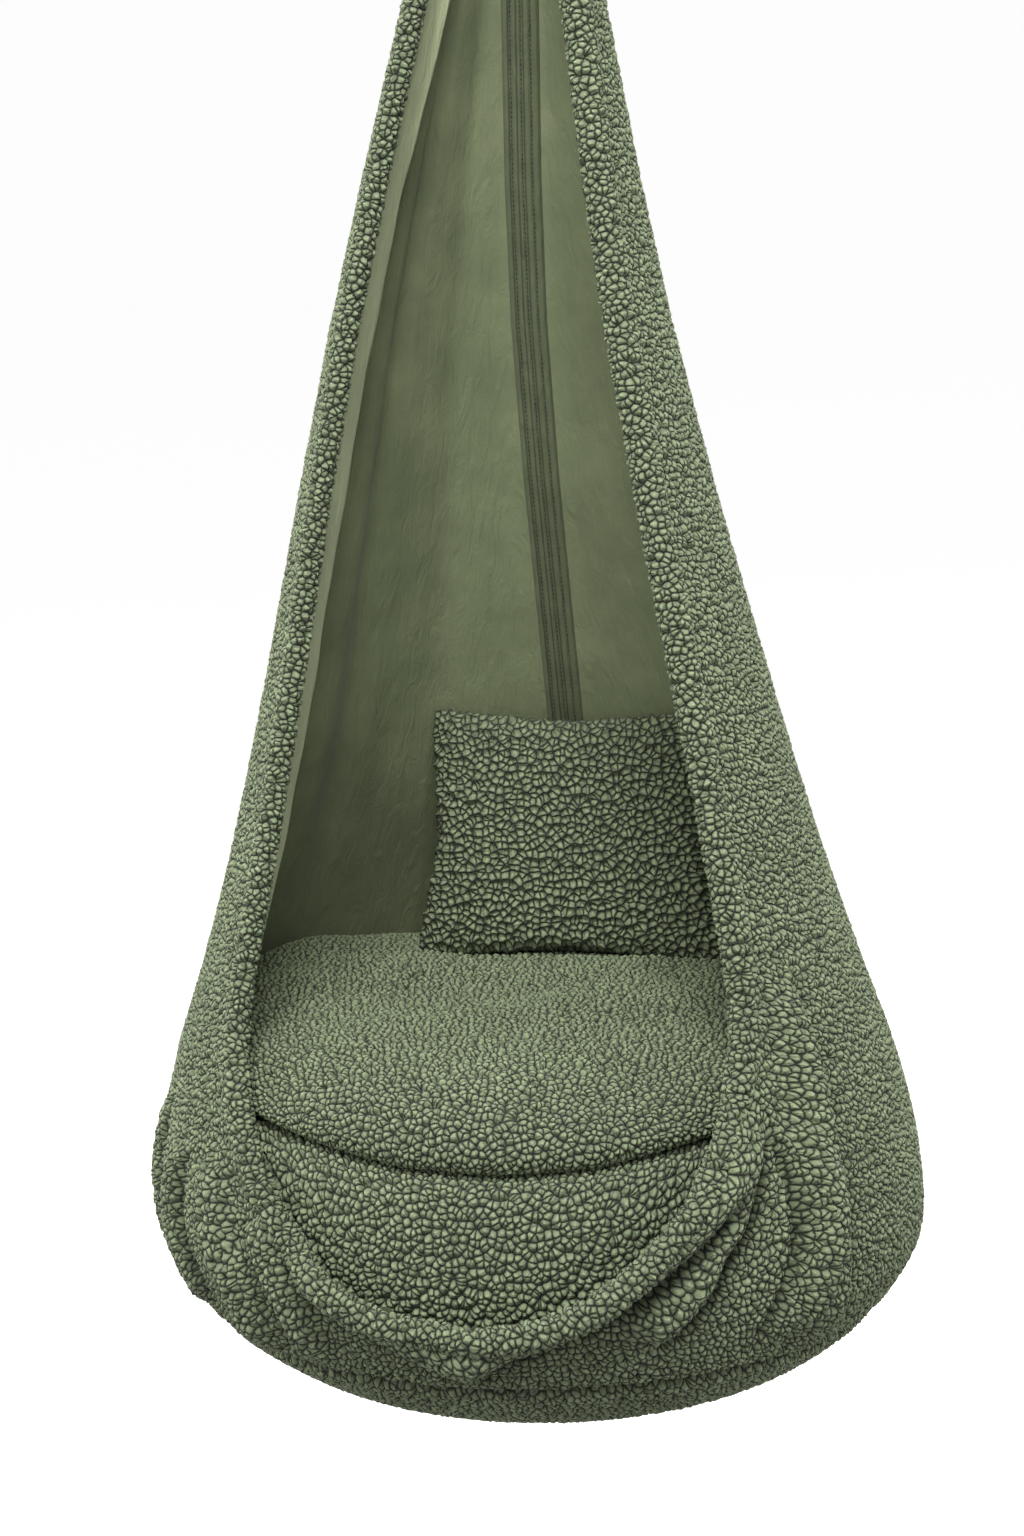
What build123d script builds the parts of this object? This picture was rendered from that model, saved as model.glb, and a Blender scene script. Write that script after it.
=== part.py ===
"""A hanging pod chair: pile cloth pod with lining, rolled rim, seat cushion, pillow and swivel fitting.

Millimetres. The origin is the centre of the swivel's eye, +Z is up and the opening faces -Y.
Heights called "height" are measured from the pod's lowest point, and pod_z turns them into Z.
"""

import os
from math import asin, cos, pi, radians, sin, sqrt, tan

from build123d import *

# Pod outline: radius of the outer face and height above the pod's lowest point
base_edge_radius = 284.0
base_edge_height = 49.0
belly_radius = 354.0
belly_height = 149.0
shoulder_radius = 320.0
shoulder_height = 345.0
waist_radius = 236.0
waist_height = 628.0
throat_radius = 89.0
throat_height = 1253.0
neck_radius = 56.0
neck_height = 1440.0
base_seam_height = 90.0
upper_seam_height = 950.0

# Cloth layers, from the outside in
pile_thickness = 12.0
lining_thickness = 2.0
layer_gap = 0.3

# Opening and its rolled rim
opening_radius = 216.0
opening_sill_height = 161.0
opening_top_half_width = 20.0
rim_radius = 12.0
rim_cord_radius = 4.5
rim_side_share = 0.8
front_rim_height = 330.0
rim_arc_steps = 6
rim_side_steps = 5
rim_side_spread = 1.2
bend_share = 0.45

# Front panel: creases at its sides and the folds that sag under the rim
crease_base_angle = 62.0
crease_rim_angle = 45.0
crease_rim_height = 345.0
fold_valley_front = 126.0
fold_valley_side = 212.0
fold_bulge = 9.0
fold_valley_depth = 5.0
front_overlap_angle = 6.0
front_steps = 8

# Tape over the lining's back seam
tape_width = 36.0
tape_thickness = 2.5
tape_end_height = 332.0

# Seat cushion
cushion_gap = 0.5
cushion_cover_thickness = 8.0
cushion_bottom_seam_height = 100.0
cushion_side_height = 248.0
cushion_seam_height = 270.0
cushion_seam_inset = 18.0
cushion_seam_roll = 4.0
cushion_bulge_height = 297.0
cushion_shoulder_inset = 32.0
cushion_shoulder_height = 323.0
cushion_crown_height = 362.0

# Pillow
pillow_size = 250.0
pillow_thickness = 104.0
pillow_drawn_in = 9.0
pillow_low_bow = 4.0
pillow_high_bow = 12.0
pillow_crown_bow = 14.0
pillow_cover_thickness = 6.0
pillow_lean = 14.0
pillow_back_gap = 3.0
pillow_seat_gap = 0.4

# Neck: gathered cloth, collar and webbing straps
gather_height = 55.0
gather_margin = 7.0
collar_thickness = 5.0
strap_width = 14.5
strap_thickness = 2.5
strap_gap = 0.6
strap_run_in = 42.0
bar_to_gather = 32.0

# Hanging ring of round wire
ring_wire_radius = 4.5
ring_side = 24.0
ring_corner = 9.0
bar_spare = 0.65

# Swivel
eye_bore_radius = 12.0
eye_rim = 10.0
eye_thickness = 14.0
boss_radius = 13.0
boss_length = 12.0
bolt_radius = 6.0
bolt_grip = 12.0
bolt_head_radius = 12.0
bolt_head_thickness = 6.5
swivel_play = 0.5
jaw_crown = 10.0
jaw_gap = 30.0
jaw_cheek = 6.0
jaw_half_width = 14.0
race_thickness = 2.0
race_radius = 12.0
ball_radius = 2.5
ball_circle = 9.0
ball_count = 10
pin_radius = 5.0
pin_below_head = 24.0
pin_head_radius = 8.0
pin_head_thickness = 4.0
nut_thickness = 5.0
nut_half_width = 8.0
running_gap = 0.05
seat_gap = 0.3

# Sizes that follow from the pieces they hold
gather_radius = neck_radius + gather_margin
ring_half_width = 1.5 * strap_width + strap_gap + bar_spare + ring_corner

# Heights along the hanging line, from the eye down
eye_radius = eye_bore_radius + eye_rim
boss_z = -eye_radius - boss_length
crown_top_z = boss_z - swivel_play
crown_z = crown_top_z - jaw_crown
upper_race_z = crown_z - race_thickness
lower_race_top_z = upper_race_z - 2 * ball_radius
head_top_z = lower_race_top_z - race_thickness
head_z = head_top_z - bolt_head_thickness
pin_z = head_z - pin_below_head
ring_top_z = pin_z + pin_radius + seat_gap + ring_wire_radius
bow_z = ring_top_z - ring_half_width
bar_z = bow_z - ring_side
gather_top_z = bar_z - bar_to_gather
neck_z = gather_top_z - gather_height
pod_z = neck_z - neck_height

# Depths of the cloth faces under the pod's outer face
lining_depth = pile_thickness + layer_gap
lining_inner_depth = lining_depth + lining_thickness
cushion_depth = lining_inner_depth + cushion_gap

# The pod's outline from the middle of the base out to the belly and up to the neck
outline = Spline(
    (0, 0),
    (base_edge_radius / 2, base_edge_height / 8),
    (base_edge_radius, base_edge_height),
    (belly_radius, belly_height),
    (shoulder_radius, shoulder_height),
    (waist_radius, waist_height),
    (throat_radius, throat_height),
    (neck_radius, neck_height),
    tangents=((1, 0), (neck_radius - throat_radius, neck_height - throat_height)),
)
outline_steps = 28
fine_factor = 15
fine_steps = outline_steps * fine_factor
outline_shares = [step / fine_steps for step in range(fine_steps + 1)]
outline_frames = [(outline @ share, outline % share) for share in outline_shares]


def fine_wall_points(depth):
    """Closely spaced points of the outline moved in by depth, from the axis to the neck, as (radius, Z)."""
    return [(p.X - along.Y * depth, p.Y + along.X * depth + pod_z) for p, along in outline_frames]


def wall_points(depth):
    """The points that the wall face at a depth is drawn through."""
    return fine_wall_points(depth)[::fine_factor]


def wall_radius(height, depth):
    """Radius of the wall face at a height, at a depth under the outer face."""
    points = fine_wall_points(depth)
    for (r0, z0), (r1, z1) in zip(points, points[1:]):
        if z0 <= height + pod_z <= z1:
            return r0 + (r1 - r0) * (height + pod_z - z0) / (z1 - z0)
    return points[-1][0]


def pod_face(depth):
    """Half section of everything inside the wall face at a depth, up to the neck."""
    points = wall_points(depth)
    with BuildSketch(Plane.YZ) as face:
        with BuildLine():
            Spline(*points, tangents=((1, 0), outline % 1))
            Polyline(points[-1], (0, points[-1][1]), points[0])
        make_face()
    return face.sketch


def at_height(height):
    """The level plane at a height of the pod."""
    return Plane.XY.offset(pod_z + height)


# Opening: a round foot with two straight sides that rise to the neck
rim_outline_radius = opening_radius + rim_radius
opening_centre_height = opening_sill_height + opening_radius
opening_top_height = neck_height + gather_height
opening_top_radius = opening_top_half_width + rim_radius
opening_rise = opening_top_height - opening_centre_height
side_slope = asin((rim_outline_radius - opening_top_radius) / opening_rise)

# The cloth's cut edge clears the whole rim at the sill, and comes closer where the wall turns away
sill_clearance = rim_radius + layer_gap
side_clearance = rim_side_share * rim_radius
cut_drop = sill_clearance - side_clearance

with BuildSketch(Plane.XZ) as opening_outline:
    with Locations((0, pod_z + opening_centre_height - cut_drop)):
        Circle(rim_outline_radius + side_clearance)
    with Locations((0, pod_z + opening_top_height)):
        Circle(opening_top_radius + side_clearance)
    make_hull()


def rim_point(height, half_width):
    """A point of the rim's centre line, on the outer face of the pod."""
    radius = wall_radius(height, 0)
    back = sqrt(max(radius**2 - half_width**2, 0))
    return Vector(half_width, -back, pod_z + height)


def rim_half():
    """Centre line of the right half of the rim, from the front up past the neck."""
    points = []
    for step in range(rim_arc_steps + 1):
        angle = -pi / 2 + (pi / 2 + side_slope) * step / rim_arc_steps
        height = opening_centre_height + rim_outline_radius * sin(angle)
        points.append(rim_point(height, rim_outline_radius * cos(angle)))
    side_start = opening_centre_height + rim_outline_radius * sin(side_slope)
    for step in range(1, rim_side_steps + 1):
        height = side_start + (neck_height - side_start) * (step / rim_side_steps) ** rim_side_spread
        lift = height - opening_centre_height
        half_width = (rim_outline_radius - lift * sin(side_slope)) / cos(side_slope)
        points.append(rim_point(height, half_width))
    last_run = points[-1] - points[-2]
    points[-1] += last_run.normalized() * 3 * rim_radius
    return points


right_points = rim_half()
left_points = [Vector(-p.X, p.Y, p.Z) for p in reversed(right_points[1:])]
rim_points = left_points + right_points


def bend_radii(points):
    """The largest radius that the two runs beside each point leave room for."""
    radii = []
    for before, here, after in zip(points, points[1:], points[2:]):
        run_in, run_out = here - before, after - here
        turn = radians(run_in.get_angle(run_out))
        radii.append(bend_share * min(run_in.length, run_out.length) / tan(turn / 2))
    return radii


with BuildLine() as rim_line:
    FilletPolyline(*rim_points, radius=bend_radii(rim_points))
rim_start = Plane(origin=rim_line.line @ 0, z_dir=rim_line.line % 0)

# The rolled rim in three lengths round one load cord
with BuildSketch(rim_start) as rim_section:
    Circle(rim_radius)
    Circle(rim_cord_radius + layer_gap, mode=Mode.SUBTRACT)
with BuildSketch(rim_start) as rim_cord_section:
    Circle(rim_cord_radius)

with BuildPart() as rim:
    sweep(rim_section.sketch, path=rim_line.line)
    split(bisect_by=at_height(neck_height), keep=Keep.BOTTOM)

with BuildPart() as front_rim:
    add(rim.part)
    split(bisect_by=at_height(front_rim_height), keep=Keep.BOTTOM)

with BuildPart() as left_rim:
    add(rim.part)
    split(bisect_by=at_height(front_rim_height), keep=Keep.TOP)
    split(bisect_by=Plane.YZ, keep=Keep.BOTTOM)

with BuildPart() as right_rim:
    add(rim.part)
    split(bisect_by=at_height(front_rim_height), keep=Keep.TOP)
    split(bisect_by=Plane.YZ, keep=Keep.TOP)

with BuildPart() as rim_cord:
    sweep(rim_cord_section.sketch, path=rim_line.line)
    split(bisect_by=at_height(neck_height), keep=Keep.BOTTOM)


# Creases: planes from the axis through the base seam and the rim, one on each side
def crease_point(height, angle, side):
    """A point of the crease on the outer face."""
    radius = wall_radius(height, 0)
    return Vector(side * radius * sin(radians(angle)), -radius * cos(radians(angle)), pod_z + height)


def crease_plane(side):
    """The plane of a crease, with its normal pointing to the front panel."""
    low = crease_point(base_seam_height, crease_base_angle, side)
    high = crease_point(crease_rim_height, crease_rim_angle, side)
    middle = Vector(0, 0, (low.Z + high.Z) / 2)
    normal = (high - low).cross(middle - low) * side
    return Plane(origin=low, z_dir=normal)


right_crease = crease_plane(1)
left_crease = crease_plane(-1)

# Side panels of pile cloth, joined along the back, each with an upper panel above its seam
pile_outer = pod_face(0)
pile_inner = pod_face(pile_thickness)

with BuildPart() as pile_wall:
    revolve(pile_outer, axis=Axis.Z)
    revolve(pile_inner, axis=Axis.Z, mode=Mode.SUBTRACT)
    split(bisect_by=at_height(base_seam_height), keep=Keep.TOP)
    extrude(opening_outline.sketch, amount=2 * belly_radius, mode=Mode.SUBTRACT)

with BuildPart() as right_wall:
    add(pile_wall.part)
    split(bisect_by=Plane.YZ, keep=Keep.TOP)
    split(bisect_by=right_crease, keep=Keep.BOTTOM)

with BuildPart() as left_wall:
    add(pile_wall.part)
    split(bisect_by=Plane.YZ, keep=Keep.BOTTOM)
    split(bisect_by=left_crease, keep=Keep.BOTTOM)

with BuildPart() as outer_right_panel:
    add(right_wall.part)
    split(bisect_by=at_height(upper_seam_height), keep=Keep.BOTTOM)

with BuildPart() as upper_right_panel:
    add(right_wall.part)
    split(bisect_by=at_height(upper_seam_height), keep=Keep.TOP)

with BuildPart() as outer_left_panel:
    add(left_wall.part)
    split(bisect_by=at_height(upper_seam_height), keep=Keep.BOTTOM)

with BuildPart() as upper_left_panel:
    add(left_wall.part)
    split(bisect_by=at_height(upper_seam_height), keep=Keep.TOP)

with BuildPart() as base_panel:
    revolve(pile_outer, axis=Axis.Z)
    revolve(pile_inner, axis=Axis.Z, mode=Mode.SUBTRACT)
    split(bisect_by=at_height(base_seam_height), keep=Keep.BOTTOM)

# Front panel: two sagging folds under the rim, lofted round the pod
front_half_angle = crease_base_angle + front_overlap_angle
front_top_height = crease_rim_height + 2 * rim_radius
front_back_depth = 3 * pile_thickness


def front_section(angle):
    """The folded wall in the upright plane at an angle from the front."""
    share = sin(radians(90 * angle / front_half_angle)) ** 2
    valley = fold_valley_front + (fold_valley_side - fold_valley_front) * share
    belly_middle = (base_seam_height + valley) / 2
    roll_middle = (valley + front_top_height) / 2
    heights = (base_seam_height, belly_middle, valley, roll_middle, front_top_height)
    depths = (0, -fold_bulge, fold_valley_depth, -fold_bulge, 0)
    low, belly, dip, roll, high = [(wall_radius(h, d), pod_z + h) for h, d in zip(heights, depths)]
    low_in = (wall_radius(base_seam_height, front_back_depth), low[1])
    high_in = (wall_radius(front_top_height, front_back_depth), high[1])
    facing = Vector(sin(radians(angle)), -cos(radians(angle)), 0)
    upright = Plane(origin=(0, 0, 0), x_dir=facing, z_dir=facing.cross(Vector(0, 0, 1)))
    with BuildSketch(upright) as section:
        with BuildLine():
            ThreePointArc(low, belly, dip)
            ThreePointArc(dip, roll, high)
            Polyline(high, high_in, low_in, low)
        make_face()
    return section.sketch


with BuildPart() as front_panel:
    angles = [front_half_angle * (2 * step / front_steps - 1) for step in range(front_steps + 1)]
    loft([front_section(angle) for angle in angles])
    revolve(pile_inner, axis=Axis.Z, mode=Mode.SUBTRACT)
    extrude(opening_outline.sketch, amount=2 * belly_radius, mode=Mode.SUBTRACT)
    split(bisect_by=right_crease, keep=Keep.TOP)
    split(bisect_by=left_crease, keep=Keep.TOP)

# Lining
lining_outer = pod_face(lining_depth)
lining_inner = pod_face(lining_inner_depth)

with BuildPart() as lining_wall:
    revolve(lining_outer, axis=Axis.Z)
    revolve(lining_inner, axis=Axis.Z, mode=Mode.SUBTRACT)
    split(bisect_by=at_height(base_seam_height), keep=Keep.TOP)
    extrude(opening_outline.sketch, amount=2 * belly_radius, mode=Mode.SUBTRACT)

with BuildPart() as lining_right_panel:
    add(lining_wall.part)
    split(bisect_by=Plane.YZ, keep=Keep.TOP)

with BuildPart() as lining_left_panel:
    add(lining_wall.part)
    split(bisect_by=Plane.YZ, keep=Keep.BOTTOM)

with BuildPart() as lining_base:
    revolve(lining_outer, axis=Axis.Z)
    revolve(lining_inner, axis=Axis.Z, mode=Mode.SUBTRACT)
    split(bisect_by=at_height(base_seam_height), keep=Keep.BOTTOM)

# Tape over the back seam, on the inside of the lining
tape_length = neck_height - tape_end_height

with BuildPart() as back_seam_tape:
    revolve(pod_face(lining_inner_depth + layer_gap), axis=Axis.Z)
    revolve(pod_face(lining_inner_depth + layer_gap + tape_thickness), axis=Axis.Z, mode=Mode.SUBTRACT)
    with BuildSketch(at_height(tape_end_height)) as tape_strip:
        with Locations((0, belly_radius / 2)):
            Rectangle(tape_width, belly_radius)
    extrude(tape_strip.sketch, amount=tape_length, mode=Mode.INTERSECT)


# Seat cushion: a base that fills the pod, a drawn-in seam and a crowned top
def cushion_face(inset):
    """Half section of the cushion with all its faces moved in by inset."""
    depth = cushion_depth + inset
    lower = [p for p in wall_points(depth) if p[1] < pod_z + cushion_side_height]
    side = (wall_radius(cushion_side_height, depth), pod_z + cushion_side_height)
    side_run = (side[0] - lower[-1][0], side[1] - lower[-1][1])
    bulge_radius = wall_radius(cushion_bulge_height, depth)
    seam = (bulge_radius - cushion_seam_inset, pod_z + cushion_seam_height)
    roll = ((side[0] + seam[0]) / 2 + cushion_seam_roll, (side[1] + 2 * seam[1]) / 3)
    bulge = (bulge_radius - 2 * cushion_gap, pod_z + cushion_bulge_height)
    shoulder = (bulge_radius - cushion_shoulder_inset, pod_z + cushion_shoulder_height - inset)
    crown = (0, pod_z + cushion_crown_height - inset)
    with BuildSketch(Plane.YZ) as face:
        with BuildLine():
            Spline(*lower, side, tangents=((1, 0), side_run))
            ThreePointArc(side, roll, seam)
            ThreePointArc(seam, bulge, shoulder)
            TangentArc(crown, shoulder, tangent=(1, 0))
            Line(crown, lower[0])
        make_face()
    return face.sketch


with BuildPart() as cushion_cover:
    revolve(cushion_face(0), axis=Axis.Z)
    revolve(cushion_face(cushion_cover_thickness), axis=Axis.Z, mode=Mode.SUBTRACT)

with BuildPart() as cushion_top_cover:
    add(cushion_cover.part)
    split(bisect_by=at_height(cushion_seam_height), keep=Keep.TOP)

with BuildPart() as cushion_side_cover:
    add(cushion_cover.part)
    split(bisect_by=at_height(cushion_seam_height), keep=Keep.BOTTOM)
    split(bisect_by=at_height(cushion_bottom_seam_height), keep=Keep.TOP)

with BuildPart() as cushion_bottom_cover:
    add(cushion_cover.part)
    split(bisect_by=at_height(cushion_bottom_seam_height), keep=Keep.BOTTOM)

with BuildPart() as cushion_filling:
    revolve(cushion_face(cushion_cover_thickness + layer_gap), axis=Axis.Z)

# Pillow: two crowned halves that meet in a seam with drawn-in sides, leaning on the back
crown_edge = wall_radius(cushion_bulge_height, cushion_depth) - cushion_shoulder_inset
crown_drop = cushion_crown_height - cushion_shoulder_height
crown_radius = (crown_edge**2 + crown_drop**2) / (2 * crown_drop)


def crown_height(radius):
    """Height of the cushion's crown at a radius."""
    return cushion_crown_height - crown_radius + sqrt(crown_radius**2 - radius**2)


pillow_half = pillow_size / 2
pillow_rise = pillow_size * cos(radians(pillow_lean))
pillow_reach = pillow_size * sin(radians(pillow_lean))
pillow_wall = wall_radius(cushion_crown_height + pillow_rise, lining_inner_depth)
pillow_top = sqrt(pillow_wall**2 - pillow_half**2) - pillow_back_gap
pillow_foot = pillow_top - pillow_reach
corner_seat = crown_height(sqrt(pillow_foot**2 + pillow_half**2))
middle_seat = crown_height(pillow_foot) - pillow_drawn_in * cos(radians(pillow_lean))
pillow_height = max(corner_seat, middle_seat) + pillow_seat_gap + pillow_rise / 2
pillow_facing = Vector(0, -cos(radians(pillow_lean)), sin(radians(pillow_lean)))
pillow_centre = Vector(0, (pillow_top + pillow_foot) / 2, pod_z + pillow_height)
pillow_front_plane = Plane(origin=pillow_centre, x_dir=(1, 0, 0), z_dir=pillow_facing)
pillow_back_plane = Plane(origin=pillow_centre, x_dir=(1, 0, 0), z_dir=pillow_facing * -1)

# Levels of a pillow half: share of its rise, share of its half size and the bow of its sides
pillow_levels = (
    (0, 1, -pillow_drawn_in),
    (0.5, 0.86, pillow_low_bow),
    (0.84, 0.6, pillow_high_bow),
    (1, 0.3, pillow_crown_bow),
)


def pillow_sections(plane, inset):
    """Rounded squares from the seam up to the crown, each of four arcs."""
    half = pillow_half - inset
    rise = pillow_thickness / 2 - inset
    sections = []
    for share, corner, bow in pillow_levels:
        reach = half * corner
        with BuildSketch(plane.offset(rise * share)) as section:
            with BuildLine():
                ThreePointArc((-reach, -reach), (0, -reach - bow), (reach, -reach))
                ThreePointArc((reach, -reach), (reach + bow, 0), (reach, reach))
                ThreePointArc((reach, reach), (0, reach + bow), (-reach, reach))
                ThreePointArc((-reach, reach), (-reach - bow, 0), (-reach, -reach))
            make_face()
        sections.append(section.sketch)
    return sections


with BuildPart() as pillow_front_cover:
    loft(pillow_sections(pillow_front_plane, 0))
    loft(pillow_sections(pillow_front_plane, pillow_cover_thickness), mode=Mode.SUBTRACT)

with BuildPart() as pillow_back_cover:
    loft(pillow_sections(pillow_back_plane, 0))
    loft(pillow_sections(pillow_back_plane, pillow_cover_thickness), mode=Mode.SUBTRACT)

with BuildPart() as pillow_filling:
    loft(pillow_sections(pillow_front_plane, pillow_cover_thickness + layer_gap))
    loft(pillow_sections(pillow_back_plane, pillow_cover_thickness + layer_gap))

# Webbing straps round the bar of the ring, and the gathered neck that they are sewn into
strap_inner = ring_wire_radius + seat_gap
strap_outer = strap_inner + strap_thickness
strap_end_z = gather_top_z - strap_run_in
strap_pitch = strap_width + strap_gap


def strap_face(inner, outer):
    """Side view of a strap: two legs joined by a half round over the bar."""
    with BuildSketch(Plane.YZ) as face:
        with Locations((0, bar_z)):
            Circle(outer)
        with Locations((0, (bar_z + strap_end_z) / 2)):
            Rectangle(2 * outer, bar_z - strap_end_z)
            Rectangle(2 * inner, bar_z - strap_end_z, mode=Mode.SUBTRACT)
        with Locations((0, bar_z)):
            Circle(inner, mode=Mode.SUBTRACT)
    return face.sketch


straps = {}
for strap_name, place in (("left", -1), ("middle", 0), ("right", 1)):
    with BuildPart() as strap:
        extrude(strap_face(strap_inner, strap_outer), amount=strap_width / 2, both=True)
    straps[strap_name] = strap.part.moved(Location((place * strap_pitch, 0, 0)))

with BuildPart() as neck_gather:
    with BuildSketch(Plane.XY.offset(neck_z)):
        Circle(gather_radius)
    extrude(amount=gather_height)
    fillet(neck_gather.faces().sort_by(Axis.Z)[-1].edges(), collar_thickness)
    for strap_part in straps.values():
        add(strap_part, mode=Mode.SUBTRACT)

with BuildPart() as neck_collar:
    with BuildSketch(Plane.XY.offset(neck_z)):
        Circle(gather_radius + layer_gap + collar_thickness)
        Circle(gather_radius + layer_gap, mode=Mode.SUBTRACT)
    extrude(amount=gather_height - collar_thickness)
    fillet(neck_collar.edges().filter_by(GeomType.CIRCLE).sort_by(SortBy.RADIUS)[-2:], collar_thickness / 3)

# Hanging ring: a bow over the cross pin and a straight bar for the straps
with BuildLine() as ring_line:
    bow = CenterArc((0, 0, 0), ring_half_width, 0, 180)
    left_side = Line(bow @ 1, (-ring_half_width, ring_corner - ring_side))
    left_corner = JernArc(left_side @ 1, left_side % 1, ring_corner, 90)
    bar = Line(left_corner @ 1, (ring_half_width - ring_corner, -ring_side))
    right_corner = JernArc(bar @ 1, bar % 1, ring_corner, 90)
    Line(right_corner @ 1, bow @ 0)
ring_path = Plane(origin=(0, 0, bow_z), x_dir=(1, 0, 0), z_dir=(0, -1, 0)) * ring_line.wire()

with BuildPart() as hanging_ring:
    with BuildSketch(Plane(origin=ring_path @ 0, z_dir=ring_path % 0)):
        Circle(ring_wire_radius)
    sweep(path=ring_path)

# Swivel: eye, bolt, thrust bearing, jaw, cross pin and nut
with BuildPart() as swivel_eye:
    with BuildSketch(Plane.XZ):
        Circle(eye_radius)
    extrude(amount=eye_thickness / 2, both=True)
    with BuildSketch(Plane.XY.offset(boss_z)):
        Circle(boss_radius)
    extrude(amount=boss_length + eye_rim / 2)
    with BuildSketch(Plane.XZ):
        Circle(eye_bore_radius)
    extrude(amount=eye_thickness, both=True, mode=Mode.SUBTRACT)
    with BuildSketch(Plane.XY.offset(boss_z)):
        Circle(bolt_radius)
    extrude(amount=bolt_grip, mode=Mode.SUBTRACT)

with BuildPart() as swivel_bolt:
    with BuildSketch(Plane.XY.offset(head_z)):
        RegularPolygon(bolt_head_radius, 6)
    extrude(amount=bolt_head_thickness)
    with BuildSketch(Plane.XY.offset(head_top_z)):
        Circle(bolt_radius)
    extrude(amount=boss_z + bolt_grip - head_top_z)

with BuildPart() as bearing_lower_race:
    with BuildSketch(Plane.XY.offset(head_top_z)):
        Circle(race_radius)
        Circle(bolt_radius + running_gap, mode=Mode.SUBTRACT)
    extrude(amount=race_thickness)

with BuildPart() as bearing_upper_race:
    with BuildSketch(Plane.XY.offset(upper_race_z)):
        Circle(race_radius)
        Circle(bolt_radius + running_gap, mode=Mode.SUBTRACT)
    extrude(amount=race_thickness)

with BuildPart() as bearing_balls:
    with Locations((0, 0, lower_race_top_z + ball_radius)):
        with PolarLocations(ball_circle, ball_count):
            Sphere(ball_radius - running_gap / 2)

jaw_outer = jaw_gap / 2 + jaw_cheek

with BuildPart() as swivel_jaw:
    with BuildSketch(Plane.XZ) as cheek_outline:
        with Locations((0, pin_z)):
            Circle(jaw_half_width)
        with Locations((0, (crown_top_z + pin_z) / 2)):
            Rectangle(2 * jaw_half_width, crown_top_z - pin_z)
    extrude(amount=jaw_outer, both=True)
    with BuildSketch(Plane.YZ):
        with Locations((0, (crown_z + pin_z) / 2 - jaw_half_width)):
            Rectangle(jaw_gap, crown_z - pin_z + 2 * jaw_half_width)
    extrude(amount=jaw_half_width, both=True, mode=Mode.SUBTRACT)
    with BuildSketch(Plane.XY.offset(crown_z)):
        Circle(bolt_radius + running_gap)
    extrude(amount=jaw_crown, mode=Mode.SUBTRACT)
    with BuildSketch(Plane.XZ):
        with Locations((0, pin_z)):
            Circle(pin_radius + running_gap)
    extrude(amount=jaw_outer, both=True, mode=Mode.SUBTRACT)

pin_end = jaw_outer + nut_thickness

with BuildPart() as clevis_pin:
    with BuildSketch(Plane.XZ.offset(jaw_outer)):
        with Locations((0, pin_z)):
            Circle(pin_head_radius)
    extrude(amount=pin_head_thickness)
    with BuildSketch(Plane.XZ.offset(jaw_outer)):
        with Locations((0, pin_z)):
            Circle(pin_radius)
    extrude(amount=-(jaw_outer + pin_end))

with BuildPart() as clevis_nut:
    with BuildSketch(Plane.XZ.offset(-pin_end)):
        with Locations((0, pin_z)):
            RegularPolygon(nut_half_width, 6, major_radius=False)
            Circle(pin_radius, mode=Mode.SUBTRACT)
    extrude(amount=nut_thickness)

pieces = {
    "swivel_eye": swivel_eye.part,
    "swivel_bolt": swivel_bolt.part,
    "bearing_lower_race": bearing_lower_race.part,
    "bearing_upper_race": bearing_upper_race.part,
    "bearing_balls": bearing_balls.part,
    "swivel_jaw": swivel_jaw.part,
    "clevis_pin": clevis_pin.part,
    "clevis_nut": clevis_nut.part,
    "hanging_ring": hanging_ring.part,
    "hanging_strap_left": straps["left"],
    "hanging_strap_middle": straps["middle"],
    "hanging_strap_right": straps["right"],
    "neck_gather": neck_gather.part,
    "neck_collar": neck_collar.part,
    "outer_left_panel": outer_left_panel.part,
    "outer_right_panel": outer_right_panel.part,
    "upper_left_panel": upper_left_panel.part,
    "upper_right_panel": upper_right_panel.part,
    "front_panel": front_panel.part,
    "base_panel": base_panel.part,
    "lining_left_panel": lining_left_panel.part,
    "lining_right_panel": lining_right_panel.part,
    "lining_base": lining_base.part,
    "back_seam_tape": back_seam_tape.part,
    "left_rim": left_rim.part,
    "right_rim": right_rim.part,
    "front_rim": front_rim.part,
    "rim_cord": rim_cord.part,
    "cushion_top_cover": cushion_top_cover.part,
    "cushion_side_cover": cushion_side_cover.part,
    "cushion_bottom_cover": cushion_bottom_cover.part,
    "cushion_filling": cushion_filling.part,
    "pillow_front_cover": pillow_front_cover.part,
    "pillow_back_cover": pillow_back_cover.part,
    "pillow_filling": pillow_filling.part,
}

os.makedirs("parts", exist_ok=True)
for name, piece in pieces.items():
    piece.label = name
    export_step(piece, f"parts/{name}.step")
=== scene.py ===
from math import asin, ceil, cos, pi, radians, sin

import bmesh
import bpy
import numpy as np
from mathutils import Matrix, Vector, noise
from mathutils.kdtree import KDTree


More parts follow.
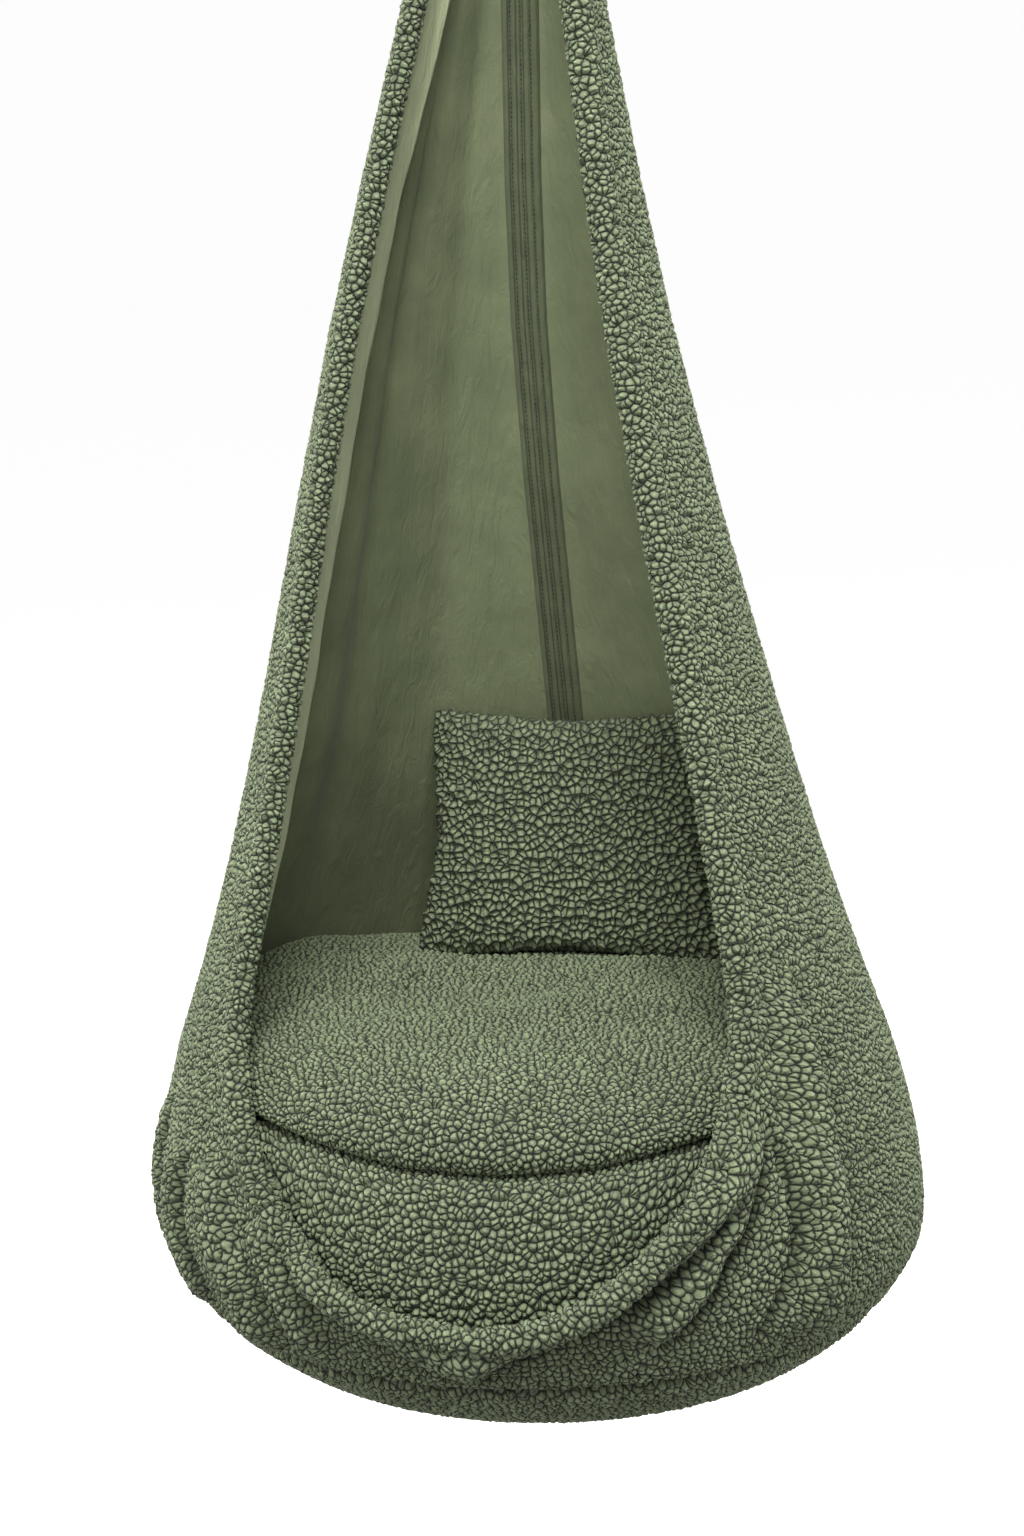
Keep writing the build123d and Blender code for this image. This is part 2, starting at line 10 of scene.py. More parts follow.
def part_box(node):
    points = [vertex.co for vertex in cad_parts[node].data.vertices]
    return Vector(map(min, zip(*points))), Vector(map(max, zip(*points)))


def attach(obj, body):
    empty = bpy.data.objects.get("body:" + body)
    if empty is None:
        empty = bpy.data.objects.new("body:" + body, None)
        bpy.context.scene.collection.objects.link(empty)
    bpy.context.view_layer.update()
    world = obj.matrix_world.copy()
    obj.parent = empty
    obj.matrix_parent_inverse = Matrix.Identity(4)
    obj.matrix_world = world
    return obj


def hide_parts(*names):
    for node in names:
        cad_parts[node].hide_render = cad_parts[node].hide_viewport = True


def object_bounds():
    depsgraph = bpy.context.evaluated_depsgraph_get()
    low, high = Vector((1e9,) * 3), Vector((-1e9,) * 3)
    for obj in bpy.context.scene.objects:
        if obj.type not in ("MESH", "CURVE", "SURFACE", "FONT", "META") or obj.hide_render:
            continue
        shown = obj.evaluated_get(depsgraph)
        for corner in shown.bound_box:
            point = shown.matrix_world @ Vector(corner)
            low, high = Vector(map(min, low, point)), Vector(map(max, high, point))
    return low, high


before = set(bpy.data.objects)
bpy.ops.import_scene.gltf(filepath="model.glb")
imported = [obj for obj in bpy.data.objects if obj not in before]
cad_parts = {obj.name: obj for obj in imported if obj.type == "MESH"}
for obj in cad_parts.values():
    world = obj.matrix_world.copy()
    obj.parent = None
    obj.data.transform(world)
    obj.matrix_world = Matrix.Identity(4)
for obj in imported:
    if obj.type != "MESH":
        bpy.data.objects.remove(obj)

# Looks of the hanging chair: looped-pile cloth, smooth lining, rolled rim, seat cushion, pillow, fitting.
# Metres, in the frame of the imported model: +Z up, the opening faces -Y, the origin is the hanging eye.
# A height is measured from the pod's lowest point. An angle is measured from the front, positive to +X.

cad_low, cad_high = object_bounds()
scene = bpy.context.scene
base_z = cad_low.z
neck_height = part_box("upper_right_panel")[1].z - base_z
upper_seam_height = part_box("upper_right_panel")[0].z - base_z
seam_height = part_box("outer_right_panel")[0].z - base_z
UP = Vector((0, 0, 1))
MERGE_GAP = 1e-5

# Rim line: a round foot with two straight sides that rise to the neck
RIM_FOOT_RADIUS = 0.228
RIM_FOOT_HEIGHT = 0.377
RIM_TOP_RADIUS = 0.032
RIM_TOP_HEIGHT = 1.495
RIM_SPLIT_HEIGHT = 0.33
RIM_SLOPE = asin((RIM_FOOT_RADIUS - RIM_TOP_RADIUS) / (RIM_TOP_HEIGHT - RIM_FOOT_HEIGHT))
RIM_CORD_RADIUS = 0.0045
RIM_CORD_STEP = 0.006

# Cloth layers, mesh steps and nubs
PILE_STEP = 0.0076
PILE_CUTS = 2
PILE_BACKING = 0.005
NUBS_PER_METRE = 158.0
NUB_HEIGHT = 0.0048
NUB_WARP = 0.0040
NUB_REACH = 0.74
NUB_SHOULDER = 0.20
NUB_SUNK = 0.4
PANEL_NUB_SUNK = 0.7
LINING_DEPTH = 0.0133
LINING_STEP = 0.0088
HIDDEN_STEP = 0.016

# The pod's hang: how far its soft wall sways to the side at some heights
SWAY = [(0.0, 0.014), (0.04, 0.011), (0.08, 0.005), (0.13, 0.004), (0.20, 0.001), (0.30, 0.0), (0.42, -0.002),
        (0.63, -0.008), (0.82, -0.014), (0.97, -0.016), (1.10, -0.013), (1.25, -0.006), (1.40, 0.0), (2.0, 0.0)]


# Small helpers for numbers
def smoothstep(low, high, value):
    """0 below low, 1 above high and a soft rise between."""
    share = np.clip((np.asarray(value, float) - low) / (high - low), 0, 1)
    return share * share * (3 - 2 * share)


def bell(offset, width):
    """1 where an offset is 0, with a soft fall to 0 on both sides."""
    return np.exp(-((offset / width) ** 2))


def unit(rows):
    """Rows of vectors, each made 1 long."""
    return rows / np.linalg.norm(rows, axis=1)[:, None]


def dots(first, second):
    """Dot products of rows of vectors."""
    return (first * second).sum(axis=1)


def lengths(points):
    """How far along a line each of its points is."""
    return np.concatenate([[0], np.cumsum(np.linalg.norm(np.diff(points, axis=0), axis=1))])


def resampled(points, step):
    """Points along a line at even steps, both ends kept."""
    points = np.asarray(points, float)
    along = lengths(points)
    places = np.linspace(0, along[-1], max(2, ceil(along[-1] / step) + 1))
    return np.stack([np.interp(places, along, column) for column in points.T], axis=1)


CURVE_CUTS = 24


def curved(points, step):
    """Points at even steps along a smooth curve through a few points."""
    points = np.asarray(points, float)
    before = np.vstack([2 * points[0] - points[1], points, 2 * points[-1] - points[-2]])
    line = []
    for a, b, c, d in zip(before, before[1:], before[2:], before[3:]):
        for t in np.linspace(0, 1, CURVE_CUTS, endpoint=False):
            line.append(0.5 * (2 * b + (c - a) * t + (2 * a - 5 * b + 4 * c - d) * t**2
                               + (3 * b - a - 3 * c + d) * t**3))
    return resampled(np.vstack([line, points[-1]]), step)


def nearest(points, line):
    """Which point of a line is nearest to each point, and the distance to it."""
    tree = KDTree(len(line))
    for index, place in enumerate(line):
        tree.insert(place, index)
    tree.balance()
    found = [tree.find(place)[1:] for place in points]
    return np.array([index for index, _ in found]), np.array([gap for _, gap in found])


# Small helpers for meshes
def new_piece(name, form):
    """A linked object that holds a bmesh, smoothly shaded."""
    mesh = bpy.data.meshes.new(name)
    form.to_mesh(mesh)
    form.free()
    mesh.shade_smooth()
    piece = bpy.data.objects.new(name, mesh)
    scene.collection.objects.link(piece)
    return piece


def coords(piece):
    """A piece's points as an array."""
    points = np.zeros(len(piece.data.vertices) * 3)
    piece.data.vertices.foreach_get("co", points)
    return points.reshape(-1, 3)


def set_coords(piece, points):
    """The piece with its points moved."""
    piece.data.vertices.foreach_set("co", np.asarray(points, float).ravel())
    piece.data.update()
    return piece


def lay_flat(piece, places, nub_size=1.0):
    """Keeps each point's place on the flat cloth, (across, along), and its place for nubs of a size."""
    places = np.column_stack([places, np.zeros(len(places))]).astype(np.float32)
    for name, values in (("cloth_place", places), ("nub_place", places / nub_size)):
        piece.data.attributes.new(name, "FLOAT_VECTOR", "POINT").data.foreach_set("vector", values.ravel())
    return piece


def keep_numbers(piece, name, values):
    """Keeps one number a point under a name."""
    piece.data.attributes.new(name, "FLOAT", "POINT").data.foreach_set("value", np.asarray(values, np.float32))


def numbers(piece, name):
    """One number a point that a piece keeps under a name."""
    values = np.zeros(len(piece.data.vertices), np.float32)
    piece.data.attributes[name].data.foreach_get("value", values)
    return values


def declare_cloth(piece):
    """Reads the flat places and the triangles of a piece's cloth, and does nothing with them."""
    places = np.zeros(len(piece.data.vertices) * 3, np.float32)
    piece.data.attributes["cloth_place"].data.foreach_get("vector", places)
    places = places.reshape(-1, 3)[:, :2]
    piece.data.calc_loop_triangles()
    corners = np.zeros(len(piece.data.loop_triangles) * 3, np.int32)
    piece.data.loop_triangles.foreach_get("vertices", corners)


def baked(piece):
    """The piece with its modifiers made part of its mesh."""
    shape = piece.evaluated_get(bpy.context.evaluated_depsgraph_get())
    mesh = bpy.data.meshes.new_from_object(shape)
    piece.modifiers.clear()
    piece.data = mesh
    mesh.shade_smooth()
    return piece


def merge(form):
    """Joins the points of a form that lie on each other."""
    bmesh.ops.remove_doubles(form, verts=form.verts, dist=MERGE_GAP)


def face_out(form):
    """Turns the faces of a form outwards."""
    bmesh.ops.recalc_face_normals(form, faces=form.faces)


def refine(form, edges, cuts):
    """Cuts faces into finer ones."""
    bmesh.ops.subdivide_edges(form, edges=edges, cuts=cuts, use_grid_fill=True)


def slice_at(form, spot, normal):
    """Cuts a plane's line into the faces of a form."""
    bmesh.ops.bisect_plane(form, geom=[*form.verts, *form.edges, *form.faces], dist=MERGE_GAP,
                           plane_co=spot, plane_no=normal)


# The pod's outer face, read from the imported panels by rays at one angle
READ_ANGLE = radians(150)
READ_RADII = np.linspace(0.02, 0.27, 26)
READ_ROWS = 240
READ_GAP_BELOW = 0.004
READ_GAP_ABOVE = 0.0005
LEAST_SLOPE = 0.5
SECTION_STEP = 0.002


def read_wall():
    """(radius, height) from the middle of the base up to the neck."""
    depsgraph = bpy.context.evaluated_depsgraph_get()
    base, side, upper = (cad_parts[n] for n in ("base_panel", "outer_right_panel", "upper_right_panel"))
    out = Vector((sin(READ_ANGLE), -cos(READ_ANGLE), 0))
    wall = [(0.0, 0.0)]
    for radius in READ_RADII:
        hit, place, *_ = base.ray_cast(out * radius + UP * (base_z - 1), UP, depsgraph=depsgraph)
        wall.append((radius, place.z - base_z))
    for height in np.linspace(wall[-1][1] + READ_GAP_BELOW, neck_height - READ_GAP_ABOVE, READ_ROWS):
        panel = base if height < seam_height else side if height < upper_seam_height else upper
        hit, place, *_ = panel.ray_cast(out + UP * (base_z + height), -out, depsgraph=depsgraph)
        if hit:
            wall.append((place.xy.length, height))
    return np.array(wall)


wall = read_wall()
wall_tangents = unit(np.gradient(wall, axis=0))


def wall_radius(height, depth=0.0):
    """Radius of the pod at a height, at a depth under its outer face."""
    slope = np.interp(height, wall[:, 1], wall_tangents[:, 1])
    return np.interp(height, wall[:, 1], wall[:, 0]) - depth / np.clip(slope, LEAST_SLOPE, 1)


def wall_points(angles, heights, depth=0.0):
    """Points at angles and heights, at a depth under the pod's outer face."""
    radii, turn = wall_radius(heights, depth), np.radians(angles)
    return np.stack([radii * np.sin(turn), -radii * np.cos(turn), base_z + heights], axis=-1)


def wall_line(depth, low, high):
    """(radius, height) along the pod's face at a depth, between two heights of the outer face."""
    inner = wall - np.stack([wall_tangents[:, 1], -wall_tangents[:, 0]], axis=1) * depth
    inner[:, 0] = np.maximum(inner[:, 0], 0)
    return inner[(wall[:, 1] >= low - 1e-6) & (wall[:, 1] <= high + 1e-6)]


def polar(points):
    """Angles in degrees, radii and heights of points."""
    x, y, z = points.T
    return np.degrees(np.arctan2(x, -y)), np.hypot(x, y), z - base_z


def push_out(points, offsets):
    """Points moved square to the pod's face by offsets."""
    angle, _, height = polar(points)
    lean, rise = (np.interp(height, wall[:, 1], part) for part in wall_tangents.T)
    turn = np.radians(angle)
    outs = np.stack([np.sin(turn) * rise, -np.cos(turn) * rise, -lean], axis=1)
    return points + outs * np.reshape(offsets, (-1, 1))


def section_place(points, line):
    """How far along a (radius, height) line the spot nearest to each point is, and the distance to it."""
    line = resampled(line, SECTION_STEP)
    step = np.linalg.norm(line[1] - line[0])
    runs = unit(np.gradient(line, axis=0))
    spots = np.stack(polar(points)[1:], axis=1)
    third = ((0, 0), (0, 1))
    near, gap = nearest(np.pad(spots, third), np.pad(line, third))
    return near * step + dots(spots - line[near], runs[near]), gap


def flat_round(points, along):
    """Places on a flat round cloth, from the distance to its middle."""
    turn = np.arctan2(points[:, 0], -points[:, 1])
    return np.stack([along * np.sin(turn), -along * np.cos(turn)], axis=1)


def flat_side(points, along, middle):
    """Places on a cloth that is laid flat from the side of a round form, opened out from a middle angle."""
    angle, radius, _ = polar(points)
    turn = np.radians((angle - middle + 180) % 360 - 180)
    return np.stack([turn * radius, along], axis=1)


# Skins of revolution with faces as wide as they are tall. Rings nearer the axis keep the count of this radius.
POLE_RADIUS = 0.04


def ring_edges(ring):
    """The edges that join a ring's points."""
    corners = set(ring)
    return [e for e in {e for v in ring for e in v.link_edges} if corners.issuperset(e.verts)]


def ring_skin(line, step):
    """A skin turned from (radius, height) points. Ends on the axis are closed."""
    form = bmesh.new()
    rings = []
    for radius, height in line:
        on_axis = radius < step / 2
        count = round(2 * pi * max(radius, POLE_RADIUS) / step)
        place = Matrix.Translation((0, 0, height))
        ring = bmesh.ops.create_circle(form, segments=count, radius=step / 3 if on_axis else radius,
                                       cap_ends=on_axis, cap_tris=on_axis, matrix=place)
        rings.append([v for v in ring["verts"] if v.co.xy.length > step / 6])
    for low, high in zip(rings, rings[1:]):
        bmesh.ops.bridge_loops(form, edges=ring_edges(low) + ring_edges(high))
    face_out(form)
    bmesh.ops.translate(form, verts=form.verts, vec=(0, 0, base_z))
    return form


def band(name, rows):
    """A strip through rows of points, every row of the same length, with a UV map in metres."""
    rows = np.asarray(rows, float)
    across, along = rows.shape[:2]
    form = bmesh.new()
    bmesh.ops.create_grid(form, x_segments=along - 1, y_segments=across - 1, size=1)
    places = {}
    for vert in form.verts:
        places[vert] = (round((vert.co.y + 1) / 2 * (across - 1)), round((vert.co.x + 1) / 2 * (along - 1)))
    for vert, (j, i) in places.items():
        vert.co = rows[j][i]
    wide, long = lengths(rows[:, along // 2]), lengths(rows[across // 2])
    layer = form.loops.layers.uv.new("UVMap")
    for face in form.faces:
        for loop in face.loops:
            j, i = places[loop.vert]
            loop[layer].uv = (wide[j], long[i])
    flat = np.array([(wide[j], long[i]) for j, i in places.values()])
    return lay_flat(new_piece(name, form), flat)


def part_off(piece, name, keep):
    """A copy of the part of a piece whose faces pass a test of their middles."""
    form = bmesh.new()
    form.from_mesh(piece.data)
    bmesh.ops.delete(form, geom=[f for f in form.faces if not keep(f.calc_center_median())], context="FACES")
    return new_piece(name, form)


def stitches(name, places, runs, ups, length, radius):
    """Rows of short thread stitches at places, along runs, standing on ups."""
    form = bmesh.new()
    for place, run, up in zip(places, runs, ups):
        run = Vector(run).normalized()
        side = Vector(up).cross(run).normalized()
        turn = Matrix((run * length / 2, side * radius, run.cross(side) * radius)).transposed().to_4x4()
        bmesh.ops.create_icosphere(form, subdivisions=1, radius=1, matrix=Matrix.Translation(place) @ turn)
    return new_piece(name, form)


# Small helpers for node trees
def feed(tree, made, **inputs):
    """Gives a node values or other nodes' sockets, by input name with _ for spaces, or as i and a number."""
    for key, value in inputs.items():
        counted = key[0] == "i" and key[1:].isdigit()
        socket = made.inputs[int(key[1:]) if counted else key.replace("_", " ")]
        if isinstance(value, bpy.types.NodeSocket):
            tree.links.new(value, socket)
        else:
            socket.default_value = value


def node(tree, kind, settings=None, **inputs):
    """Adds a node with settings and inputs."""
    made = tree.nodes.new(kind)
    for key, value in (settings or {}).items():
        setattr(made, key, value)
    feed(tree, made, **inputs)
    return made


# Nubs of the looped pile: cells on the flat cloth, which the meshes and the pile's material both read
NUB_BEND_SCALE = 70.0
# What a nub's height keeps at its crease and in its lowest tone, and what it gains
NUB_AT_CREASE, NUB_FROM_CREASE = 0.6, 0.4
NUB_LOW_TONE, NUB_TONE_GAIN = 0.8, 0.3


def nub_cells(tree, place):
    """Nodes for the distance to the nearest crease, the distance to the nub's middle, and the nub's tone."""
    flat = {"voronoi_dimensions": "2D"}
    shape = {"Vector": place, "Scale": NUBS_PER_METRE, "Randomness": 1.0}
    edge = node(tree, "ShaderNodeTexVoronoi", {**flat, "feature": "DISTANCE_TO_EDGE"}, **shape)
    middle = node(tree, "ShaderNodeTexVoronoi", flat, **shape)
    return edge.outputs["Distance"], middle.outputs["Distance"], middle.outputs["Color"]


def cell_tree():
    """Geometry nodes that keep, for each point, its bent place on the cloth and what the nub there is like."""
    tree = bpy.data.node_groups.new("pile_cells", "GeometryNodeTree")
    for way in ("INPUT", "OUTPUT"):
        tree.interface.new_socket("Geometry", in_out=way, socket_type="NodeSocketGeometry")
    kept = tree.nodes.new("NodeGroupInput").outputs["Geometry"]
    place = node(tree, "GeometryNodeInputNamedAttribute", {"data_type": "FLOAT_VECTOR"},
                 Name="nub_place").outputs["Attribute"]
    bend = node(tree, "ShaderNodeTexNoise", Vector=place, Scale=NUB_BEND_SCALE, Detail=2.0).outputs["Color"]
    bent = node(tree, "ShaderNodeVectorMath", {"operation": "MULTIPLY_ADD"}, i0=bend,
                i1=(NUB_WARP, NUB_WARP, 0), i2=place).outputs["Vector"]
    edge, reach, tone = nub_cells(tree, bent)
    for name, value, kind in (("cell_place", bent, "FLOAT_VECTOR"), ("cell_edge", edge, "FLOAT"),
                              ("cell_reach", reach, "FLOAT"), ("cell_tone", tone, "FLOAT")):
        kept = node(tree, "GeometryNodeStoreNamedAttribute", {"data_type": kind, "domain": "POINT"},
                    Geometry=kept, Name=name, Value=value).outputs["Geometry"]
    tree.links.new(kept, tree.nodes.new("NodeGroupOutput").inputs["Geometry"])
    return tree


CELLS = cell_tree()


def nub_rise(piece):
    """How far the pile's nubs rise at each point of a piece, from 0 in a crease to about 1."""
    piece.modifiers.new("cells", "NODES").node_group = CELLS
    baked(piece)
    dome = np.sqrt(1 - np.minimum(numbers(piece, "cell_reach") / NUB_REACH, 1) ** 2)
    crease = smoothstep(0, NUB_SHOULDER, numbers(piece, "cell_edge"))
    tone = NUB_LOW_TONE + NUB_TONE_GAIN * numbers(piece, "cell_tone")
    return dome * (NUB_AT_CREASE + NUB_FROM_CREASE * crease) * tone


def add_nubs(piece, height=NUB_HEIGHT):
    """Raises nubs on a piece, square to its faces."""
    rise = nub_rise(piece)
    normals = np.zeros(len(piece.data.vertices) * 3)
    piece.data.vertex_normals.foreach_get("vector", normals)
    return set_coords(piece, coords(piece) + normals.reshape(-1, 3) * (height * (rise - NUB_SUNK))[:, None])


# Folds of the lower pod. Each has a line of (angle, height), the height and reach of its roll, and the side
# that the roll is on: 1 is to the right of a line that runs down, or above one that runs to the right.
FOLDS = [
    ([(-66, 0.29), (-67, 0.20), (-63, 0.11)], 0.008, 0.015, -1),
    ([(-53, 0.265), (-54, 0.18), (-49.5, 0.105)], 0.012, 0.016, -1),
    ([(-48, 0.275), (-45, 0.179), (-42.4, 0.15), (-41, 0.112), (-39, 0.075)], 0.016, 0.019, 1),
    ([(-36, 0.225), (-31.4, 0.159), (-30, 0.13), (-28.5, 0.085)], 0.013, 0.017, 1),
    ([(-27, 0.20), (-20, 0.166), (-12.5, 0.135), (-6, 0.112), (6, 0.096)], 0.018, 0.019, 1),
    ([(44, 0.27), (33.5, 0.218), (26.8, 0.186), (19.3, 0.159), (8.6, 0.128), (-5, 0.100)], 0.020, 0.020, -1),
    ([(48, 0.31), (41, 0.225), (37.5, 0.2), (34, 0.165), (25, 0.110)], 0.018, 0.019, -1),
    ([(46.5, 0.31), (49.5, 0.228), (47.7, 0.174), (43, 0.105)], 0.011, 0.017, 1),
    ([(61.5, 0.43), (59.5, 0.25), (59, 0.19), (59.5, 0.075)], 0.018, 0.021, -1),
]
FOLD_RADIUS = 0.35
FOLD_STEP = 0.008
# Where on the pod folds are, and the shares of a line over which a fold starts and ends
FOLD_ANGLE, FOLD_LOW, FOLD_HIGH = 85, 0.03, 0.44
FOLD_START, FOLD_END = 0.22, 0.18
ROLL_REACH = 2.8
ROLL_POWER = 0.7
VALLEY_SHARE = 0.5
VALLEY_WIDTH = 0.35
# A fold's roll at which the painted shade in its valley is full
DEEP_ROLL = 0.016
SLACK_SHARE = 0.6
SLACK_RISE, SLACK_FADE = 0.9, 5


def fold_offset(points):
    """How far the pile stands out for its folds, the shift of its flat places, and the painted shade of the
    folds' valleys.
    """
    angle, _, height = polar(points)
    total, painted_valley_shade, shift = np.zeros(len(points)), np.zeros(len(points)), np.zeros((len(points), 2))
    near = np.nonzero((np.abs(angle) < FOLD_ANGLE) & (height > FOLD_LOW) & (height < FOLD_HIGH))[0]
    flat = np.stack([np.radians(angle[near]) * FOLD_RADIUS, height[near]], axis=1)
    for line, roll, reach, side in FOLDS:
        line = curved([(radians(a) * FOLD_RADIUS, h) for a, h in line], FOLD_STEP)
        best, signed, along = np.full(len(flat), np.inf), np.zeros(len(flat)), np.zeros(len(flat))
        square = np.zeros((len(flat), 2))
        for k, (start, run) in enumerate(zip(line, np.diff(line, axis=0))):
            offset = flat - start
            share = np.clip(offset @ run / (run @ run), 0, 1)
            gap = np.linalg.norm(offset - share[:, None] * run, axis=1)
            turn = np.sign(run[0] * offset[:, 1] - run[1] * offset[:, 0])
            closer = gap < best
            best = np.where(closer, gap, best)
            signed = np.where(closer, turn * gap, signed)
            along = np.where(closer, (k + share) / (len(line) - 1), along)
            square[closer] = np.array([-run[1], run[0]]) / np.linalg.norm(run)
        fade = smoothstep(0, FOLD_START, along) * smoothstep(0, FOLD_END, 1 - along)
        across = signed * side / reach
        rise = np.sin(pi * np.clip(across / ROLL_REACH, 0, 1) ** ROLL_POWER)
        valley = fade * bell(across, VALLEY_WIDTH)
        total[near] += fade * roll * rise - VALLEY_SHARE * roll * valley
        painted_valley_shade[near] = np.maximum(painted_valley_shade[near], valley * min(1, roll / DEEP_ROLL))
        slack = smoothstep(0, SLACK_RISE, across) * np.exp(-np.maximum(across - SLACK_RISE, 0) / SLACK_FADE)
        shift[near] += (side * SLACK_SHARE * fade * roll * slack)[:, None] * square
    return total, shift, painted_valley_shade


# The rim's line on the pod
def rim_half_width(height):
    """Half the opening's width, to the rim's middle, at a height."""
    foot = np.sqrt(np.maximum(RIM_FOOT_RADIUS**2 - (height - RIM_FOOT_HEIGHT) ** 2, 0))
    side = (RIM_FOOT_RADIUS - (height - RIM_FOOT_HEIGHT) * sin(RIM_SLOPE)) / cos(RIM_SLOPE)
    tangent = RIM_FOOT_HEIGHT + RIM_FOOT_RADIUS * sin(RIM_SLOPE)
    return np.where(height < tangent, foot, side)


def in_opening(place):
    """Whether a point of the pod's face lies inside the rim."""
    height = place.z - base_z
    in_front = place.y < 0 and height > RIM_FOOT_HEIGHT - RIM_FOOT_RADIUS
    return in_front and abs(place.x) < rim_half_width(height)


# Radius of each rolled edge, the depth of its middle under the pod's face, and the size of its nubs
ROLLS = {"left_rim": (0.0088, 0.0055, 0.94), "right_rim": (0.0122, 0.0050, 1.0),
         "front_rim": (0.0108, 0.0045, 1.0)}
ROLL_NUB_HEIGHT = 0.0058
ROLL_STEP = 0.0018
RIM_SIDE_POINTS = 400
RIM_FOOT_POINTS = 300


def rim_path(name, side):
    """Points of the rim's middle on one side, from its foot to the neck."""
    heights = np.linspace(RIM_SPLIT_HEIGHT, neck_height, RIM_SIDE_POINTS)
    half = rim_half_width(heights)
    back = np.sqrt(np.maximum(wall_radius(heights) ** 2 - half**2, 0))
    return push_out(np.stack([side * half, -back, base_z + heights], axis=1), -ROLLS[name][1])


def front_rim_path():
    """Points of the rim's middle round its foot, from left to right."""
    turn = asin((RIM_SPLIT_HEIGHT - RIM_FOOT_HEIGHT) / RIM_FOOT_RADIUS)
    angles = np.linspace(-pi - turn, turn, RIM_FOOT_POINTS)
    half = RIM_FOOT_RADIUS * np.cos(angles)
    heights = RIM_FOOT_HEIGHT + RIM_FOOT_RADIUS * np.sin(angles)
    back = np.sqrt(wall_radius(heights) ** 2 - half**2)
    path = np.stack([half, -back, base_z + heights], axis=1)
    return push_out(path, fold_offset(path)[0] - ROLLS["front_rim"][1])


RIM = {"left_rim": rim_path("left_rim", -1), "right_rim": rim_path("right_rim", 1),
       "front_rim": front_rim_path()}


def tube(name, path, radius, step):
    """A closed tube along a path, with faces of about one step."""
    path = resampled(path, step)
    curve = bpy.data.curves.new(name, "CURVE")
    curve.dimensions = "3D"
    curve.bevel_depth = radius
    curve.bevel_resolution = max(1, round(2 * pi * radius / step / 4) - 1)
    curve.use_fill_caps = True
    spline = curve.splines.new("POLY")
    spline.points.add(len(path) - 1)
    spline.points.foreach_set("co", np.hstack([path, np.ones((len(path), 1))]).ravel())
    holder = bpy.data.objects.new(name, curve)
    scene.collection.objects.link(holder)
    mesh = bpy.data.meshes.new_from_object(holder.evaluated_get(bpy.context.evaluated_depsgraph_get()))
    bpy.data.objects.remove(holder)
    form = bmesh.new()
    form.from_mesh(mesh)
    merge(form)
    face_out(form)
    bpy.data.meshes.remove(mesh)
    return new_piece(name, form)


def rolled_edge(name):
    """One rolled edge of the opening, covered in nubs that follow its length."""
    radius, _, nub_size = ROLLS[name]
    piece = tube(name + "_roll", RIM[name], radius, ROLL_STEP)
    path = resampled(RIM[name], ROLL_STEP)
    runs = unit(np.gradient(path, axis=0))
    outs = path * (1, 1, 0)
    outs = unit(outs - runs * dots(outs, runs)[:, None])
    points = coords(piece)
    near, _ = nearest(points, path)
    offset = points - path[near]
    around = np.arctan2(dots(offset, np.cross(runs, outs)[near]), dots(offset, outs[near]))
    along = near * ROLL_STEP + dots(offset, runs[near])
    lay_flat(piece, np.stack([around * radius, along], axis=1), nub_size)
    return add_nubs(piece, ROLL_NUB_HEIGHT)


# Pile panels of the pod. A crease runs up each side of the front panel, from the base seam to the rim.
CREASE_BASE_ANGLE = 62.0
CREASE_RIM_ANGLE = 45.0
CREASE_RIM_HEIGHT = 0.345


def crease_plane(side):
    """A point and a normal of a crease's plane. The normal points to the front panel."""
    low = Vector(wall_points(side * CREASE_BASE_ANGLE, seam_height))
    high = Vector(wall_points(side * CREASE_RIM_ANGLE, CREASE_RIM_HEIGHT))
    middle = UP * ((low.z + high.z) / 2)
    return low, ((high - low).cross(middle - low) * side).normalized()


CREASES = [crease_plane(side) for side in (-1, 1)]


def panel_of(place):
    """The panel that a point of the pod's face belongs to."""
    height = place.z - base_z
    if height < seam_height:
        return "base_panel"
    if in_opening(place):
        return "opening"
    if place.y < 0 and all((place - spot).dot(normal) > 0 for spot, normal in CREASES):
        return "front_panel"
    part = "outer" if height < upper_seam_height else "upper"
    return f"{part}_right_panel" if place.x > 0 else f"{part}_left_panel"


def pod_skin():
    """The whole pod's face with its panels' seams cut in."""
    below = resampled(wall_line(0, 0, seam_height), PILE_STEP)
    above = resampled(np.vstack([below[-1], wall_line(0, seam_height, neck_height)]), PILE_STEP)
    form = ring_skin(np.vstack([below, above[1:]]), PILE_STEP)
    back_seam, upper_seam = ((0, 0, 0), (1, 0, 0)), ((0, 0, base_z + upper_seam_height), UP)
    for spot, normal in (back_seam, upper_seam, *CREASES):
        slice_at(form, spot, normal)
    return form


# The pull of the base seam and the back seam on the cloth beside them
SEAM_RISE = -0.010
SEAM_GROOVE = 0.009
SEAM_WIDTH = 0.0045
SEAM_BULGE, SEAM_BULGE_DROP, SEAM_BULGE_WIDTH = 0.003, 0.012, 0.02
# How much painted shade darkens the seam grooves
SEAM_SHADE = 0.9
BACK_SEAM_WIDTH = 0.004
BACK_SEAM_START = 0.02
BACK_SEAM_PUFF, BACK_PUFF_PLACE, BACK_PUFF_WIDTH = 0.002, 0.02, 0.014
BACK_PUFF_LOW, BACK_PUFF_HIGH = 0.08, 0.14
# The pile is drawn in round the foot between some heights, less on the right
FOOT_SLIM = 0.005
FOOT_LOW, FOOT_HIGH = (0.02, 0.07), (0.34, 0.24)
FOOT_RIGHT_SHARE, FOOT_RIGHT = 0.5, (75, 30)
# It swells to meet the rolled edge, most at the lip
RIM_SWELL = 0.003
LIP_SWELL = 0.0075
LIP_HEIGHTS = (0.40, 0.30)
RIM_SWELL_REACH = 0.024
